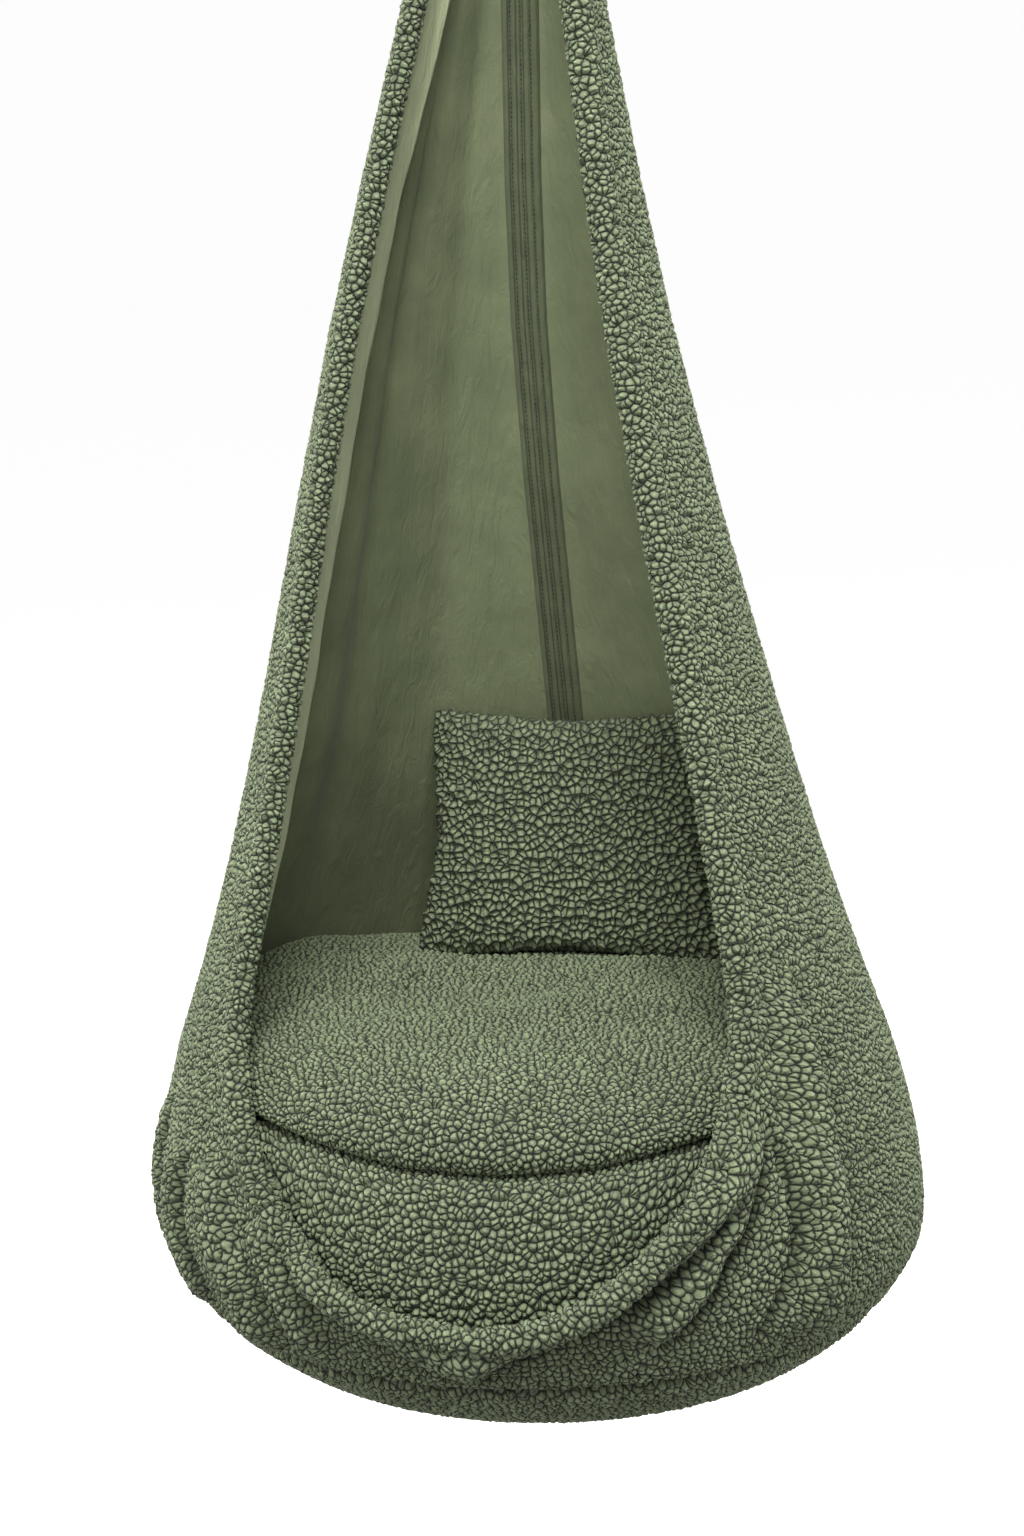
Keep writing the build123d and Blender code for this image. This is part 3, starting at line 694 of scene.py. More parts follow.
# The right side stands out in a soft corner above the base
CORNER_BULGE = 0.009
CORNER_HEIGHT, CORNER_TALL = 0.125, 0.045
CORNER_ANGLE, CORNER_WIDE = 100, 32
# The angle that each wall panel is opened out from, and the size of the panels' nubs
PANEL_MIDDLES = {"outer_left_panel": -100, "upper_left_panel": -100, "outer_right_panel": 100,
                 "upper_right_panel": 100, "front_panel": 0}
PANEL_NUBS = 1.05
BASE_NUBS = 1.12
FACE_SHARE = 0.3


def panel_offset(points, grooves):
    """How far a panel stands out for the pull of its seams, the rim and the corner."""
    angle, radius, height = polar(points)
    bulge = SEAM_BULGE * bell(height - seam_height + SEAM_BULGE_DROP, SEAM_BULGE_WIDTH)
    slim = FOOT_SLIM * smoothstep(*FOOT_LOW, height) * smoothstep(*FOOT_HIGH, height)
    slim *= FOOT_RIGHT_SHARE + (1 - FOOT_RIGHT_SHARE) * smoothstep(*FOOT_RIGHT, angle)
    corner = CORNER_BULGE * bell(height - CORNER_HEIGHT, CORNER_TALL) * bell(angle - CORNER_ANGLE, CORNER_WIDE)
    lip = RIM_SWELL + (LIP_SWELL - RIM_SWELL) * smoothstep(*LIP_HEIGHTS, height)
    swell = lip * bell(nearest(points, np.vstack(list(RIM.values())))[1], RIM_SWELL_REACH)
    puff = BACK_SEAM_PUFF * bell(from_back(angle, radius) - BACK_PUFF_PLACE, BACK_PUFF_WIDTH)
    puff *= smoothstep(BACK_PUFF_LOW, BACK_PUFF_HIGH, height)
    return corner + swell + puff - slim - SEAM_GROOVE * grooves + bulge


def from_back(angle, radius):
    """The way round the pod from its back seam."""
    return np.radians(180 - np.abs(angle)) * radius


def seam_grooves(points):
    """1 in the base seam and the back seam, 0 away from them."""
    angle, radius, height = polar(points)
    base = bell(height - seam_height - SEAM_RISE, SEAM_WIDTH)
    back = bell(from_back(angle, radius), BACK_SEAM_WIDTH)
    return np.maximum(base, back * smoothstep(seam_height, seam_height + BACK_SEAM_START, height))


def pile_panel(name, skin):
    """One panel of pile cloth: its part of the skin, backed, folded and covered in nubs."""
    form = skin.copy()
    others = [f for f in form.faces if panel_of(f.calc_center_median()) != name]
    bmesh.ops.delete(form, geom=others, context="FACES")
    outer = list(form.faces)
    backing = bmesh.ops.extrude_face_region(form, geom=outer, use_keep_orig=True)["geom"]
    inner = [v for v in backing if isinstance(v, bmesh.types.BMVert)]
    for vert, place in zip(inner, push_out(np.array([v.co for v in inner]), -PILE_BACKING)):
        vert.co = place
    face_out(form)
    refine(form, list({e for f in outer for e in f.edges}), PILE_CUTS)
    piece = new_piece(name + "_cloth", form)
    points = coords(piece)
    along, depth = section_place(points, wall)
    folds, shift, painted_valley_shade = fold_offset(points)
    if name == "base_panel":
        lay_flat(piece, flat_round(points, along), BASE_NUBS)
    else:
        lay_flat(piece, flat_side(points, along, PANEL_MIDDLES[name]) + shift, PANEL_NUBS)
    grooves = seam_grooves(points)
    points = push_out(points, folds + panel_offset(points, grooves))
    # Painted shade in the folds' valleys and the seam grooves, kept for the pile's material
    keep_numbers(piece, "painted_valley_shade", np.maximum(painted_valley_shade, SEAM_SHADE * grooves))
    rise = np.where(depth < FACE_SHARE * PILE_BACKING, nub_rise(piece), 0)
    return set_coords(piece, push_out(points, NUB_HEIGHT * (rise - PANEL_NUB_SUNK)))


# Lining. It stands off the pile above the cushion, further on its left side.
LINING_STAND_OFF = 0.0026
LEFT_STAND_OFF = 0.006
LINING_FREE = (0.34, 0.6)
LINING_MIDDLE = 100


def lining_offset(points):
    """Soft upright folds of the lining, which are deeper on its left side."""
    angle, _, height = polar(points)

    def wave(depth, count, lean):
        return depth * np.sin(np.radians(angle) * count + lean)

    left = smoothstep(30, 70, -angle) * smoothstep(20, 60, 180 + angle)
    folds = wave(0.0016, 9, 1.3 * np.sin(height * 4)) + wave(0.0010, 17, 2 + height * 3)
    deep = left * (LEFT_STAND_OFF + wave(0.0042, 13, 1.8 * height) + wave(0.0028, 23, 4 * height))
    return -(LINING_STAND_OFF + folds + deep) * smoothstep(*LINING_FREE, height)


def lining_panel(name, side):
    """One half of the lining, inside the pile."""
    form = ring_skin(resampled(wall_line(LINING_DEPTH, seam_height, neck_height), LINING_STEP), LINING_STEP)
    slice_at(form, (0, 0, 0), (1, 0, 0))
    middles = {face: face.calc_center_median() for face in form.faces}
    gone = [face for face, place in middles.items() if place.x * side < 0 or in_opening(place)]
    bmesh.ops.delete(form, geom=gone, context="FACES")
    bmesh.ops.reverse_faces(form, faces=form.faces)
    refine(form, form.edges, 1)
    piece = new_piece(name + "_cloth", form)
    points = coords(piece)
    lay_flat(piece, flat_side(points, section_place(points, wall)[0], side * LINING_MIDDLE))
    return set_coords(piece, push_out(points, lining_offset(points)))


def lining_floor():
    """The round of lining under the cushion."""
    line = resampled(wall_line(LINING_DEPTH, 0, seam_height), HIDDEN_STEP)
    piece = new_piece("lining_base_cloth", ring_skin(line, HIDDEN_STEP))
    points = coords(piece)
    return lay_flat(piece, flat_round(points, section_place(points, wall)[0]))


def on_lining(angles, heights, lift, folds=1.0):
    """Points on the lining's inner face with a share of its folds, lifted off it."""
    points = wall_points(angles, heights, LINING_DEPTH)
    return push_out(points, folds * lining_offset(points) - lift)


# Section of the turned-in hem beside the rim: distance from the rim's middle, and lift off the lining. The left
# hem is a facing that stands off in a folded edge and narrows behind the rim's foot. The right one lies flat.
FACING = [(-0.001, -0.0075), (0.005, -0.002), (0.012, 0.0050), (0.022, 0.0120), (0.032, 0.0180),
          (0.040, 0.0225), (0.0436, 0.0236), (0.0455, 0.0215), (0.0445, 0.0150), (0.041, 0.0060),
          (0.037, 0.0010)]
HEM = [(-0.001, -0.0075), (0.005, -0.002), (0.010, 0.0040), (0.016, 0.0075), (0.023, 0.0085), (0.030, 0.0080),
       (0.0345, 0.0065), (0.0362, 0.0045), (0.0355, 0.0022), (0.032, 0.0008)]
FACING_LOW, HEM_LOW = 0.36, 0.30
HEM_GAP_ABOVE = 0.004
HEM_POINTS = 260
HEM_STEP = 0.0022
HEM_FOLDS = 0.25
HEM_NARROWEST, HEM_WIDENS = 0.10, (0.34, 0.56)


def hem(name, side):
    """The lining's smooth hem, turned in along one side of the rim."""
    heights = np.linspace(FACING_LOW if side < 0 else HEM_LOW, neck_height - HEM_GAP_ABOVE, HEM_POINTS)
    radii = wall_radius(heights)
    rim_angle = np.degrees(np.arcsin(np.clip(rim_half_width(heights) / radii, 0, 1)))
    narrow = HEM_NARROWEST + (1 - HEM_NARROWEST) * smoothstep(*HEM_WIDENS, heights)
    rows = []
    for reach, lift in curved(FACING if side < 0 else HEM, HEM_STEP):
        turn = rim_angle + np.degrees(reach * narrow / radii)
        ripple = 1 + 0.03 * np.sin(heights * 37 + reach * 60) + 0.015 * np.sin(heights * 83 + 2)
        rows.append(on_lining(side * turn, heights, lift * ripple * narrow, HEM_FOLDS))
    return band(name, rows if side < 0 else rows[::-1])


# Tape over the back seam: its section, and stitch rows across its width
TAPE_HALF = 0.018
TAPE_LOW = 0.332
TAPE_GAP_ABOVE = 0.003
TAPE_ACROSS, TAPE_ALONG = 49, 280
TAPE_THICK, TAPE_EDGE_THICK, TAPE_EDGE = 0.0034, 0.0006, 0.0016
TAPE_RIPPLE = 0.0003
TAPE_ROWS = (-0.0100, 0.0006, 0.0104)
ROW_DEPTH, ROW_WIDTH = 0.0026, 0.0010
STITCH_PITCH = 0.0042
STITCH_LENGTH, STITCH_RADIUS = 0.0036, 0.0007
STITCH_LIFT = 0.0019


def tape_angle(x, heights):
    """The angles at which a line of the tape runs."""
    return 180 - np.degrees(x / wall_radius(heights, LINING_DEPTH))


def tape():
    """The stitched tape, with a soft rib between its stitch rows."""
    heights = np.linspace(TAPE_LOW, neck_height - TAPE_GAP_ABOVE, TAPE_ALONG)
    rows = []
    for x in np.linspace(-TAPE_HALF, TAPE_HALF, TAPE_ACROSS):
        groove = sum(bell(x - row, ROW_WIDTH) for row in TAPE_ROWS)
        edge = smoothstep(0, TAPE_EDGE, TAPE_HALF - abs(x))
        ripple = TAPE_RIPPLE * np.sin(heights * 140 + x * 90)
        lift = TAPE_EDGE_THICK + (TAPE_THICK + ripple) * edge - ROW_DEPTH * groove
        rows.append(on_lining(tape_angle(x, heights), heights, lift))
    return band("back_seam_tape_cloth", rows)


def tape_stitches():
    """The thread in the tape's stitch rows."""
    heights = np.arange(TAPE_LOW + 0.006, neck_height - 0.01, STITCH_PITCH)
    places, runs, ups = [], [], []
    for x in TAPE_ROWS:
        turn = tape_angle(x, heights)
        spots = on_lining(turn, heights, STITCH_LIFT)
        places.extend(spots)
        runs.extend(on_lining(turn, heights + 0.003, STITCH_LIFT) - spots)
        ups.extend(spots * (0, -1, 0))
    return stitches("back_seam_stitches", places, runs, ups, STITCH_LENGTH, STITCH_RADIUS)


# Seat cushion: sections of its covers, and of the fuller back of its top
CUSHION_TOP = [(0, 0.358), (0.1, 0.358), (0.2, 0.351), (0.262, 0.336), (0.298, 0.316), (0.3145, 0.294),
               (0.3115, 0.278), (0.292, 0.268)]
CUSHION_BACK = [(0, 0.358), (0.1, 0.359), (0.2, 0.363), (0.25, 0.365), (0.28, 0.363), (0.295, 0.353),
                (0.306, 0.330), (0.3145, 0.294)]
CUSHION_SIDE = [(0.292, 0.268), (0.313, 0.2645), (0.327, 0.250), (0.335, 0.222), (0.339, 0.180), (0.335, 0.135),
                (0.315, 0.100)]
CUSHION_BOTTOM = [(0.315, 0.100), (0.285, 0.073), (0.25, 0.053), (0.15, 0.026), (0, 0.0175)]
CUSHION_STEP = 0.0054
UNDERSIDE_STEP = 0.009
CUSHION_CUTS = 2
CROWN_STEP = 0.004
# Where the top is fuller: from its sides to its back, less behind the pillow
FULL_SIDES, FULL_MIDDLE = (35, 100), 8
FULL_BACK, FULL_BACK_LOSS = (115, 160), 0.75
FULL_HEIGHTS = (0.285, 0.305)
# How far the front seam climbs at some angles, and how far from the seam the covers follow
SEAM_CLIMB = [(-180, 0.030), (-95, 0.044), (-64, 0.046), (-40, 0.023), (-12, 0.003), (5, 0.0), (20, 0.004),
              (45, 0.024), (80, 0.034), (180, 0.030)]
SEAM_FOLLOW = 0.034
# Height of the uneven filling's lumps, by their number a metre
LUMPS = ((7, 0.008), (16, 0.0035))
LUMPS_REACH = (0.36, 0.28)
# Where the pillow may press on the cushion, the height that the search starts from, and the gap that is left
PRESS_FRONT, PRESS_HALF = 0.05, 0.16
PRESS_START = 0.2
PRESS_GAP = 0.004
FILLING_SHARE, FILLING_RISE = 0.9, 0.02


def cushion_lumps(points):
    """The cushion's uneven filling: how far each point stands out."""
    return np.array([sum(noise.noise(Vector(p) * count) * height for count, height in LUMPS) for p in points])


def cushion_cover(name, line, step, pressed_by=None):
    """One cover of the seat cushion, fuller at the back, and pressed down where the pillow rests on it."""
    form = ring_skin(curved(line, step), step)
    refine(form, form.edges, CUSHION_CUTS)
    piece = new_piece(name + "_cloth", form)
    points = coords(piece)
    along, _ = section_place(points, curved(line, SECTION_STEP))
    lay_flat(piece, flat_side(points, along, 0) if name == "cushion_side_cover" else flat_round(points, along))
    angle, reach, height = polar(points)
    front, back = curved(CUSHION_TOP[:6], CROWN_STEP), curved(CUSHION_BACK, CROWN_STEP)
    fuller = np.interp(reach, *back.T) - np.interp(reach, *front.T)
    fuller *= smoothstep(*FULL_SIDES, np.abs(angle - FULL_MIDDLE)) * smoothstep(*FULL_HEIGHTS, height)
    fuller *= 1 - FULL_BACK_LOSS * smoothstep(*FULL_BACK, np.abs(angle))
    seam = bell(height - CUSHION_TOP[-1][1], SEAM_FOLLOW)
    climb = np.interp(angle, *np.array(SEAM_CLIMB).T) * seam
    points[:, 2] += fuller + climb + cushion_lumps(points) * (1 - seam) * smoothstep(*LUMPS_REACH, reach)
    if pressed_by:
        for index in np.nonzero((points[:, 1] > PRESS_FRONT) & (np.abs(points[:, 0]) < PRESS_HALF))[0]:
            hit, place, *_ = pressed_by.ray_cast(Vector((*points[index, :2], base_z + PRESS_START)), UP)
            if hit:
                points[index, 2] = min(points[index, 2], place.z - PRESS_GAP)
    return add_nubs(set_coords(piece, points))


def filling(name, line):
    """Wadding inside the cushion's covers."""
    line = np.array(line) * FILLING_SHARE + (0, FILLING_RISE)
    return new_piece(name, ring_skin(curved(line, HIDDEN_STEP), HIDDEN_STEP))


# Pillow: its flat cut, how it is blown up, and how it sits
PILLOW_HALF_THICKNESS = 0.050
PILLOW_START_SHARE = 0.8
PILLOW_FULLNESS = 3.4
PILLOW_GRID = 40
PILLOW_AIR = {"use_pressure": True, "uniform_pressure_force": 4.0, "tension_stiffness": 25, "quality": 6,
              "compression_stiffness": 25, "shear_stiffness": 12, "bending_stiffness": 1.5}
PILLOW_FRAMES = 16
PILLOW_SWELL = 0.012
PILLOW_CORNER = 0.045
PILLOW_DRAWN_IN = 0.075
PILLOW_NUBS = 1.1
PILLOW_NUB_HEIGHT = 0.0036
PILLOW_SPREAD_TOP = 1.10
PILLOW_SPREAD_FOOT = 1.24
PILLOW_SHIFT = 0.014
WADDING_SHARE = 0.78


def pillow_frame():
    """The pillow's middle, its half size, and its directions up and forwards."""
    front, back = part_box("pillow_front_cover"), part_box("pillow_back_cover")
    foot = Vector((0, back[0].y, back[0].z))
    top = Vector((0, front[1].y, front[1].z))
    up = (top - foot).normalized()
    return (foot + top) / 2, (top - foot).length / 2, up, up.cross(Vector((1, 0, 0)))


def inflate(piece):
    """Lets air pressure fill a closed cloth form, and keeps the shape that it takes."""
    settings = piece.modifiers.new("air", "CLOTH").settings
    for key, value in PILLOW_AIR.items():
        setattr(settings, key, value)
    settings.effector_weights.gravity = 0
    for step in range(1, PILLOW_FRAMES + 1):
        scene.frame_set(step)
    baked(piece)
    scene.frame_set(1)


def pillow_form():
    """The stuffed pillow: two covers sewn at their drawn-in edges, blown up a little further."""
    middle, half, up, facing = pillow_frame()
    form = bmesh.new()
    bmesh.ops.create_grid(form, x_segments=PILLOW_GRID, y_segments=PILLOW_GRID, size=1)
    copy = bmesh.ops.duplicate(form, geom=[*form.verts, *form.edges, *form.faces])["geom"]
    back = {v for v in copy if isinstance(v, bmesh.types.BMVert)}
    for vert in form.verts:
        u, v = vert.co.x, vert.co.y
        thick = ((1 - abs(u) ** PILLOW_FULLNESS) * (1 - abs(v) ** PILLOW_FULLNESS)) ** 0.5
        corner = PILLOW_CORNER * (u * v) ** 6
        vert.co.x = half * u * (1 - corner - PILLOW_DRAWN_IN * (1 - v * v) * u * u)
        vert.co.y = half * v * (1 - corner - PILLOW_DRAWN_IN * (1 - u * u) * v * v)
        vert.co.z = PILLOW_START_SHARE * PILLOW_HALF_THICKNESS * thick * (-1 if vert in back else 1)
    merge(form)
    face_out(form)
    piece = new_piece("pillow_cloth", form)
    before = coords(piece)
    inflate(piece)
    moved = coords(piece) - before
    far = np.linalg.norm(moved, axis=1)[:, None]
    set_coords(piece, before + moved * np.minimum(1, PILLOW_SWELL / np.maximum(far, 1e-9)))
    points = coords(piece)
    points -= (points.max(axis=0) + points.min(axis=0)) / 2
    points *= np.array([half, half, PILLOW_HALF_THICKNESS]) / np.abs(points).max(axis=0)
    to_foot = 0.5 - points[:, 1] / half / 2
    points[:, 0] *= PILLOW_SPREAD_TOP + (PILLOW_SPREAD_FOOT - PILLOW_SPREAD_TOP) * to_foot
    points[:, 0] += PILLOW_SHIFT
    set_coords(piece, points @ np.array([(1, 0, 0), up, facing]) + np.array(middle))
    smooth = piece.modifiers.new("smooth", "SUBSURF")
    smooth.levels = smooth.render_levels = 2
    offset = coords(baked(piece)) - np.array(middle)
    return lay_flat(piece, np.stack([offset[:, 0], offset @ np.array(up)], axis=1), PILLOW_NUBS)


# Neck: the gathered cloth, its collar and the webbing straps
GATHER_STEP = 0.004
GATHER_NUB_HEIGHT = 0.002
PLEAT_HEIGHT, PLEAT_SINK = 0.0035, 0.004
COLLAR_THICK = 0.0046
COLLAR_STEP, COLLAR_CURVE_STEP = 0.005, 0.0025
COLLAR_STITCHES = 64
COLLAR_STITCH_LENGTH, COLLAR_STITCH_RADIUS = 0.0046, 0.0008
COLLAR_ROW_INSET, COLLAR_STITCH_SUNK = 0.008, 0.0004
STRAP_THICK = 0.0024
STRAP_STEP = 0.002
STRAP_ACROSS = 13


def neck_box(name):
    """The outer radius, lowest height and highest height of a round piece of the neck."""
    low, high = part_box(name)
    return high.x, low.z - base_z, high.z - base_z


def gather():
    """The bundle of cloth in the collar, pleated round its edge and into its middle."""
    edge, bottom, top = neck_box("neck_gather")
    line = [(edge, bottom), (edge, top - 0.012), (edge - 0.002, top - 0.004), (edge - 0.008, top),
            (0.6 * edge, top - 0.001), (0.3 * edge, top - 0.004), (0.0, top - 0.006)]
    form = ring_skin(curved(line, GATHER_STEP), GATHER_STEP)
    refine(form, form.edges, 1)
    piece = new_piece("neck_gather_cloth", form)
    points = coords(piece)
    angle, radius, height = polar(points)
    turn = np.radians(angle)
    pleat = np.sin(turn * 17 + 1.5 * np.sin(turn * 3)) + 0.5 * np.sin(turn * 29 + 1)
    share = smoothstep(0.004, 0.03, radius) * smoothstep(top - 0.02, top - 0.004, height)
    points[:, 2] += (PLEAT_HEIGHT * pleat - PLEAT_SINK) * share
    lay_flat(piece, points[:, :2])
    return add_nubs(set_coords(piece, points), GATHER_NUB_HEIGHT)


def collar():
    """The sewn band round the gather, with rolled edges."""
    edge, bottom, top = neck_box("neck_collar")
    inner = edge - COLLAR_THICK
    line = [(inner, bottom + 0.002), (edge - 0.002, bottom), (edge, bottom + 0.003),
            (edge - 0.0006, bottom + 0.008), (edge, (bottom + top) / 2), (edge - 0.0006, top - 0.008),
            (edge, top - 0.003), (edge - 0.002, top), (inner, top - 0.002), (inner, bottom + 0.002)]
    form = ring_skin(curved(line, COLLAR_CURVE_STEP), COLLAR_STEP)
    merge(form)
    return new_piece("neck_collar_band", form)


def collar_stitches():
    """Two rows of stitches round the collar."""
    low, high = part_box("neck_collar")
    places, runs, ups = [], [], []
    for z in (low.z + COLLAR_ROW_INSET, high.z - COLLAR_ROW_INSET):
        for turn in np.linspace(0, 2 * pi, COLLAR_STITCHES, endpoint=False):
            out = Vector((cos(turn), sin(turn), 0))
            places.append(out * (high.x - COLLAR_STITCH_SUNK) + UP * z)
            runs.append(UP.cross(out))
            ups.append(out)
    return stitches("neck_collar_stitches", places, runs, ups, COLLAR_STITCH_LENGTH, COLLAR_STITCH_RADIUS)


def strap(name):
    """A webbing loop over the ring's bar, with both legs sewn into the gather."""
    low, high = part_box(name)
    bend = high.y - STRAP_THICK / 2
    crown = high.z - high.y
    arc = [(bend * cos(t), crown + bend * sin(t)) for t in np.linspace(0, pi, 25)]
    path = [(bend, low.z), (bend, crown - 0.001), *arc, (-bend, crown - 0.001), (-bend, low.z)]
    path = resampled(path, STRAP_STEP)
    rows = [[(x, y, z) for y, z in path] for x in np.linspace(low.x, high.x, STRAP_ACROSS)]
    piece = band(name + "_webbing", rows)
    solid = piece.modifiers.new("thick", "SOLIDIFY")
    solid.thickness = STRAP_THICK
    solid.offset = 0
    return piece


# Materials
def new_material(name):
    """A material, its node tree and its Principled shader."""
    material = bpy.data.materials.new(name)
    material.use_nodes = True
    tree = material.node_tree
    return material, tree, tree.nodes["Principled BSDF"]


def place_on(tree, kind="Object"):
    """The place on a piece that a material is worked out from."""
    return node(tree, "ShaderNodeTexCoord").outputs[kind]


def cloudy(tree, place, scale, detail, **more):
    """Soft noise from 0 to 1."""
    return node(tree, "ShaderNodeTexNoise", Vector=place, Scale=scale, Detail=detail, **more).outputs["Fac"]


def maths(tree, operation, first, second, **settings):
    """One number worked out from two."""
    made = node(tree, "ShaderNodeMath", {"operation": operation, **settings}, i0=first, i1=second)
    return made.outputs["Value"]


def bump(tree, height, strength, distance, under=None, **settings):
    """A normal with bumps, on top of those of another normal."""
    made = node(tree, "ShaderNodeBump", settings, Strength=strength, Distance=distance, Height=height)
    if under is not None:
        feed(tree, made, Normal=under)
    return made.outputs["Normal"]


def ramp(tree, factor, stops):
    """A colour ramp with (place, colour) stops."""
    made = node(tree, "ShaderNodeValToRGB", Fac=factor)
    elements = made.color_ramp.elements
    while len(elements) < len(stops):
        elements.new(0.5)
    for element, (place, colour) in zip(elements, stops):
        element.position = place
        element.color = (*colour, 1)
    return made.outputs["Color"]


def shaded(tree, colour, factor, stops, share=1.0):
    """A colour made darker or lighter by a factor, with (place, level) stops."""
    levels = ramp(tree, factor, [(place, (level, level, level)) for place, level in stops])
    kind = {"data_type": "RGBA", "blend_type": "MULTIPLY"}
    return node(tree, "ShaderNodeMix", kind, i0=share, i6=colour, i7=levels).outputs[2]


def linear(red, green, blue):
    """A screen colour of 0 to 255 as linear light."""
    return tuple(((c / 255 + 0.055) / 1.055) ** 2.4 for c in (red, green, blue))


# Sizes of the clumps, whose creases get painted shade, and of the small loops, as shares of the nubs' size
CLUMP_SHARE = 0.4
LOOP_SHARE = 2.3
# Pile colours by the distance from a crease: painted shade in the creases and on the nubs' sides, a painted
# highlight on their tops
PILE_CREASE_SHADE = linear(15, 19, 11)
PILE_SHADED_SIDE = linear(80, 90, 63)
PILE_LIT_TOP = linear(143, 156, 121)
LINING_TONES = linear(110, 119, 88), linear(131, 140, 105)
TAPE_TONES = linear(86, 94, 68), linear(100, 108, 80)
# The facing: a lighter cloth, with painted sheen in its colour
FACING_PAINTED_SHEEN_TONES = linear(166, 175, 137), linear(186, 194, 155)
THREAD_TONES = linear(40, 47, 31), linear(58, 67, 46)
COLLAR_TONES = linear(88, 100, 78), linear(112, 126, 98)
WADDING_TONES = linear(205, 203, 196), linear(228, 226, 220)
WEBBING_TONES = linear(58, 68, 50), linear(104, 118, 92)
STEEL = (0.24, 0.24, 0.235, 1)


def pile_material():
    """Looped pile: nubs of different tones, which are lumpy themselves, and fine yarn. Painted shade darkens
    the creases, the nubs' sides and edges, the gaps between loops and clumps, the fold valleys and the seam
    grooves; a painted highlight lightens the nubs' tops.
    """
    material, tree, shader = new_material("looped_pile")
    place = place_on(tree)
    cell_place = node(tree, "ShaderNodeAttribute", {"attribute_name": "cell_place"}).outputs["Vector"]
    painted_valley_shade = node(tree, "ShaderNodeAttribute", {"attribute_name": "painted_valley_shade"}).outputs["Fac"]
    edge, reach, tone = nub_cells(tree, cell_place)
    yarn = cloudy(tree, place, 700.0, 4.0, Roughness=0.65)
    patches = cloudy(tree, place, 9.0, 3.0)
    loops = node(tree, "ShaderNodeTexVoronoi", Vector=cell_place,
                 Scale=LOOP_SHARE * NUBS_PER_METRE).outputs["Distance"]
    clumps = node(tree, "ShaderNodeTexVoronoi", {"voronoi_dimensions": "2D", "feature": "DISTANCE_TO_EDGE"},
                  Vector=cell_place, Scale=CLUMP_SHARE * NUBS_PER_METRE).outputs["Distance"]
    # Painted shade in the creases and on the nubs' sides, painted highlight on the nubs' tops
    body = ramp(tree, edge, [(0.0, PILE_CREASE_SHADE), (0.065, PILE_SHADED_SIDE), (0.18, PILE_LIT_TOP)])
    # Painted shade: darker in the fold valleys and seam grooves, in lines between clumps, towards each nub's
    # edge and between its small loops. The nubs' tones, the yarn and the patches are the cloth's own colour.
    for factor, share, *stops in (
            (painted_valley_shade, 1.0, (0.0, 1.0), (1.0, 0.45)), (clumps, 1.0, (0.0, 0.42), (0.07, 1.0)),
            (reach, 1.0, (0.05, 1.10), (0.6, 0.84)), (tone, 1.0, (0.1, 0.84), (0.9, 1.12)),
            (loops, 1.0, (0.25, 1.05), (0.8, 0.80)), (yarn, 0.8, (0.3, 0.80), (0.7, 1.16)),
            (patches, 1.0, (0.3, 0.92), (0.7, 1.06))):
        body = shaded(tree, body, factor, stops, share)
    shoulder = node(tree, "ShaderNodeMapRange", {"interpolation_type": "SMOOTHSTEP"}, Value=edge,
                    From_Max=NUB_SHOULDER, To_Max=0.4).outputs["Result"]
    fall = maths(tree, "POWER", maths(tree, "DIVIDE", reach, NUB_REACH, use_clamp=True), 2.0)
    normal = bump(tree, yarn, 0.5, 0.0012)
    normal = bump(tree, loops, 0.6, 0.0016, normal, invert=True)
    normal = bump(tree, maths(tree, "SUBTRACT", shoulder, fall), 0.9, 0.0032, normal)
    feed(tree, shader, Base_Color=body, Normal=normal, Roughness=0.95, Specular_IOR_Level=0.15,
         Sheen_Weight=0.1, Sheen_Roughness=0.6)
    return material


def lining_material(name, tones, sewn_rows=()):
    """Smooth lining: fine grain, long faint wrinkles that run down the cloth, and soft changes of tone."""
    material, tree, shader = new_material(name)
    place = place_on(tree)
    body = ramp(tree, cloudy(tree, place, 13.0, 5.0, Roughness=0.6), list(zip((0.3, 0.7), tones)))
    if sewn_rows:
        across = node(tree, "ShaderNodeSeparateXYZ", Vector=place_on(tree, "UV")).outputs["X"]
        share = node(tree, "ShaderNodeMapRange", Value=across, From_Max=2 * TAPE_HALF).outputs["Result"]
        places = [(TAPE_HALF + row) / (2 * TAPE_HALF) for row in sewn_rows]
        stops = [(p + side, level) for p in places for side, level in ((-0.035, 1), (0, 0.25), (0.035, 1))]
        body = shaded(tree, body, share, stops)
    drawn = node(tree, "ShaderNodeMapping", Vector=place, Scale=(85.0, 85.0, 16.0)).outputs["Vector"]
    normal = bump(tree, cloudy(tree, place, 1100.0, 3.0), 0.22, 0.0005)
    normal = bump(tree, cloudy(tree, place, 150.0, 5.0, Roughness=0.65, Distortion=1.4), 0.3, 0.002, normal)
    normal = bump(tree, cloudy(tree, drawn, 1.0, 5.0, Roughness=0.6, Distortion=0.8), 0.7, 0.0035, normal)
    feed(tree, shader, Base_Color=body, Normal=normal, Roughness=0.62, Specular_IOR_Level=0.35,
         Sheen_Weight=0.15)
    return material


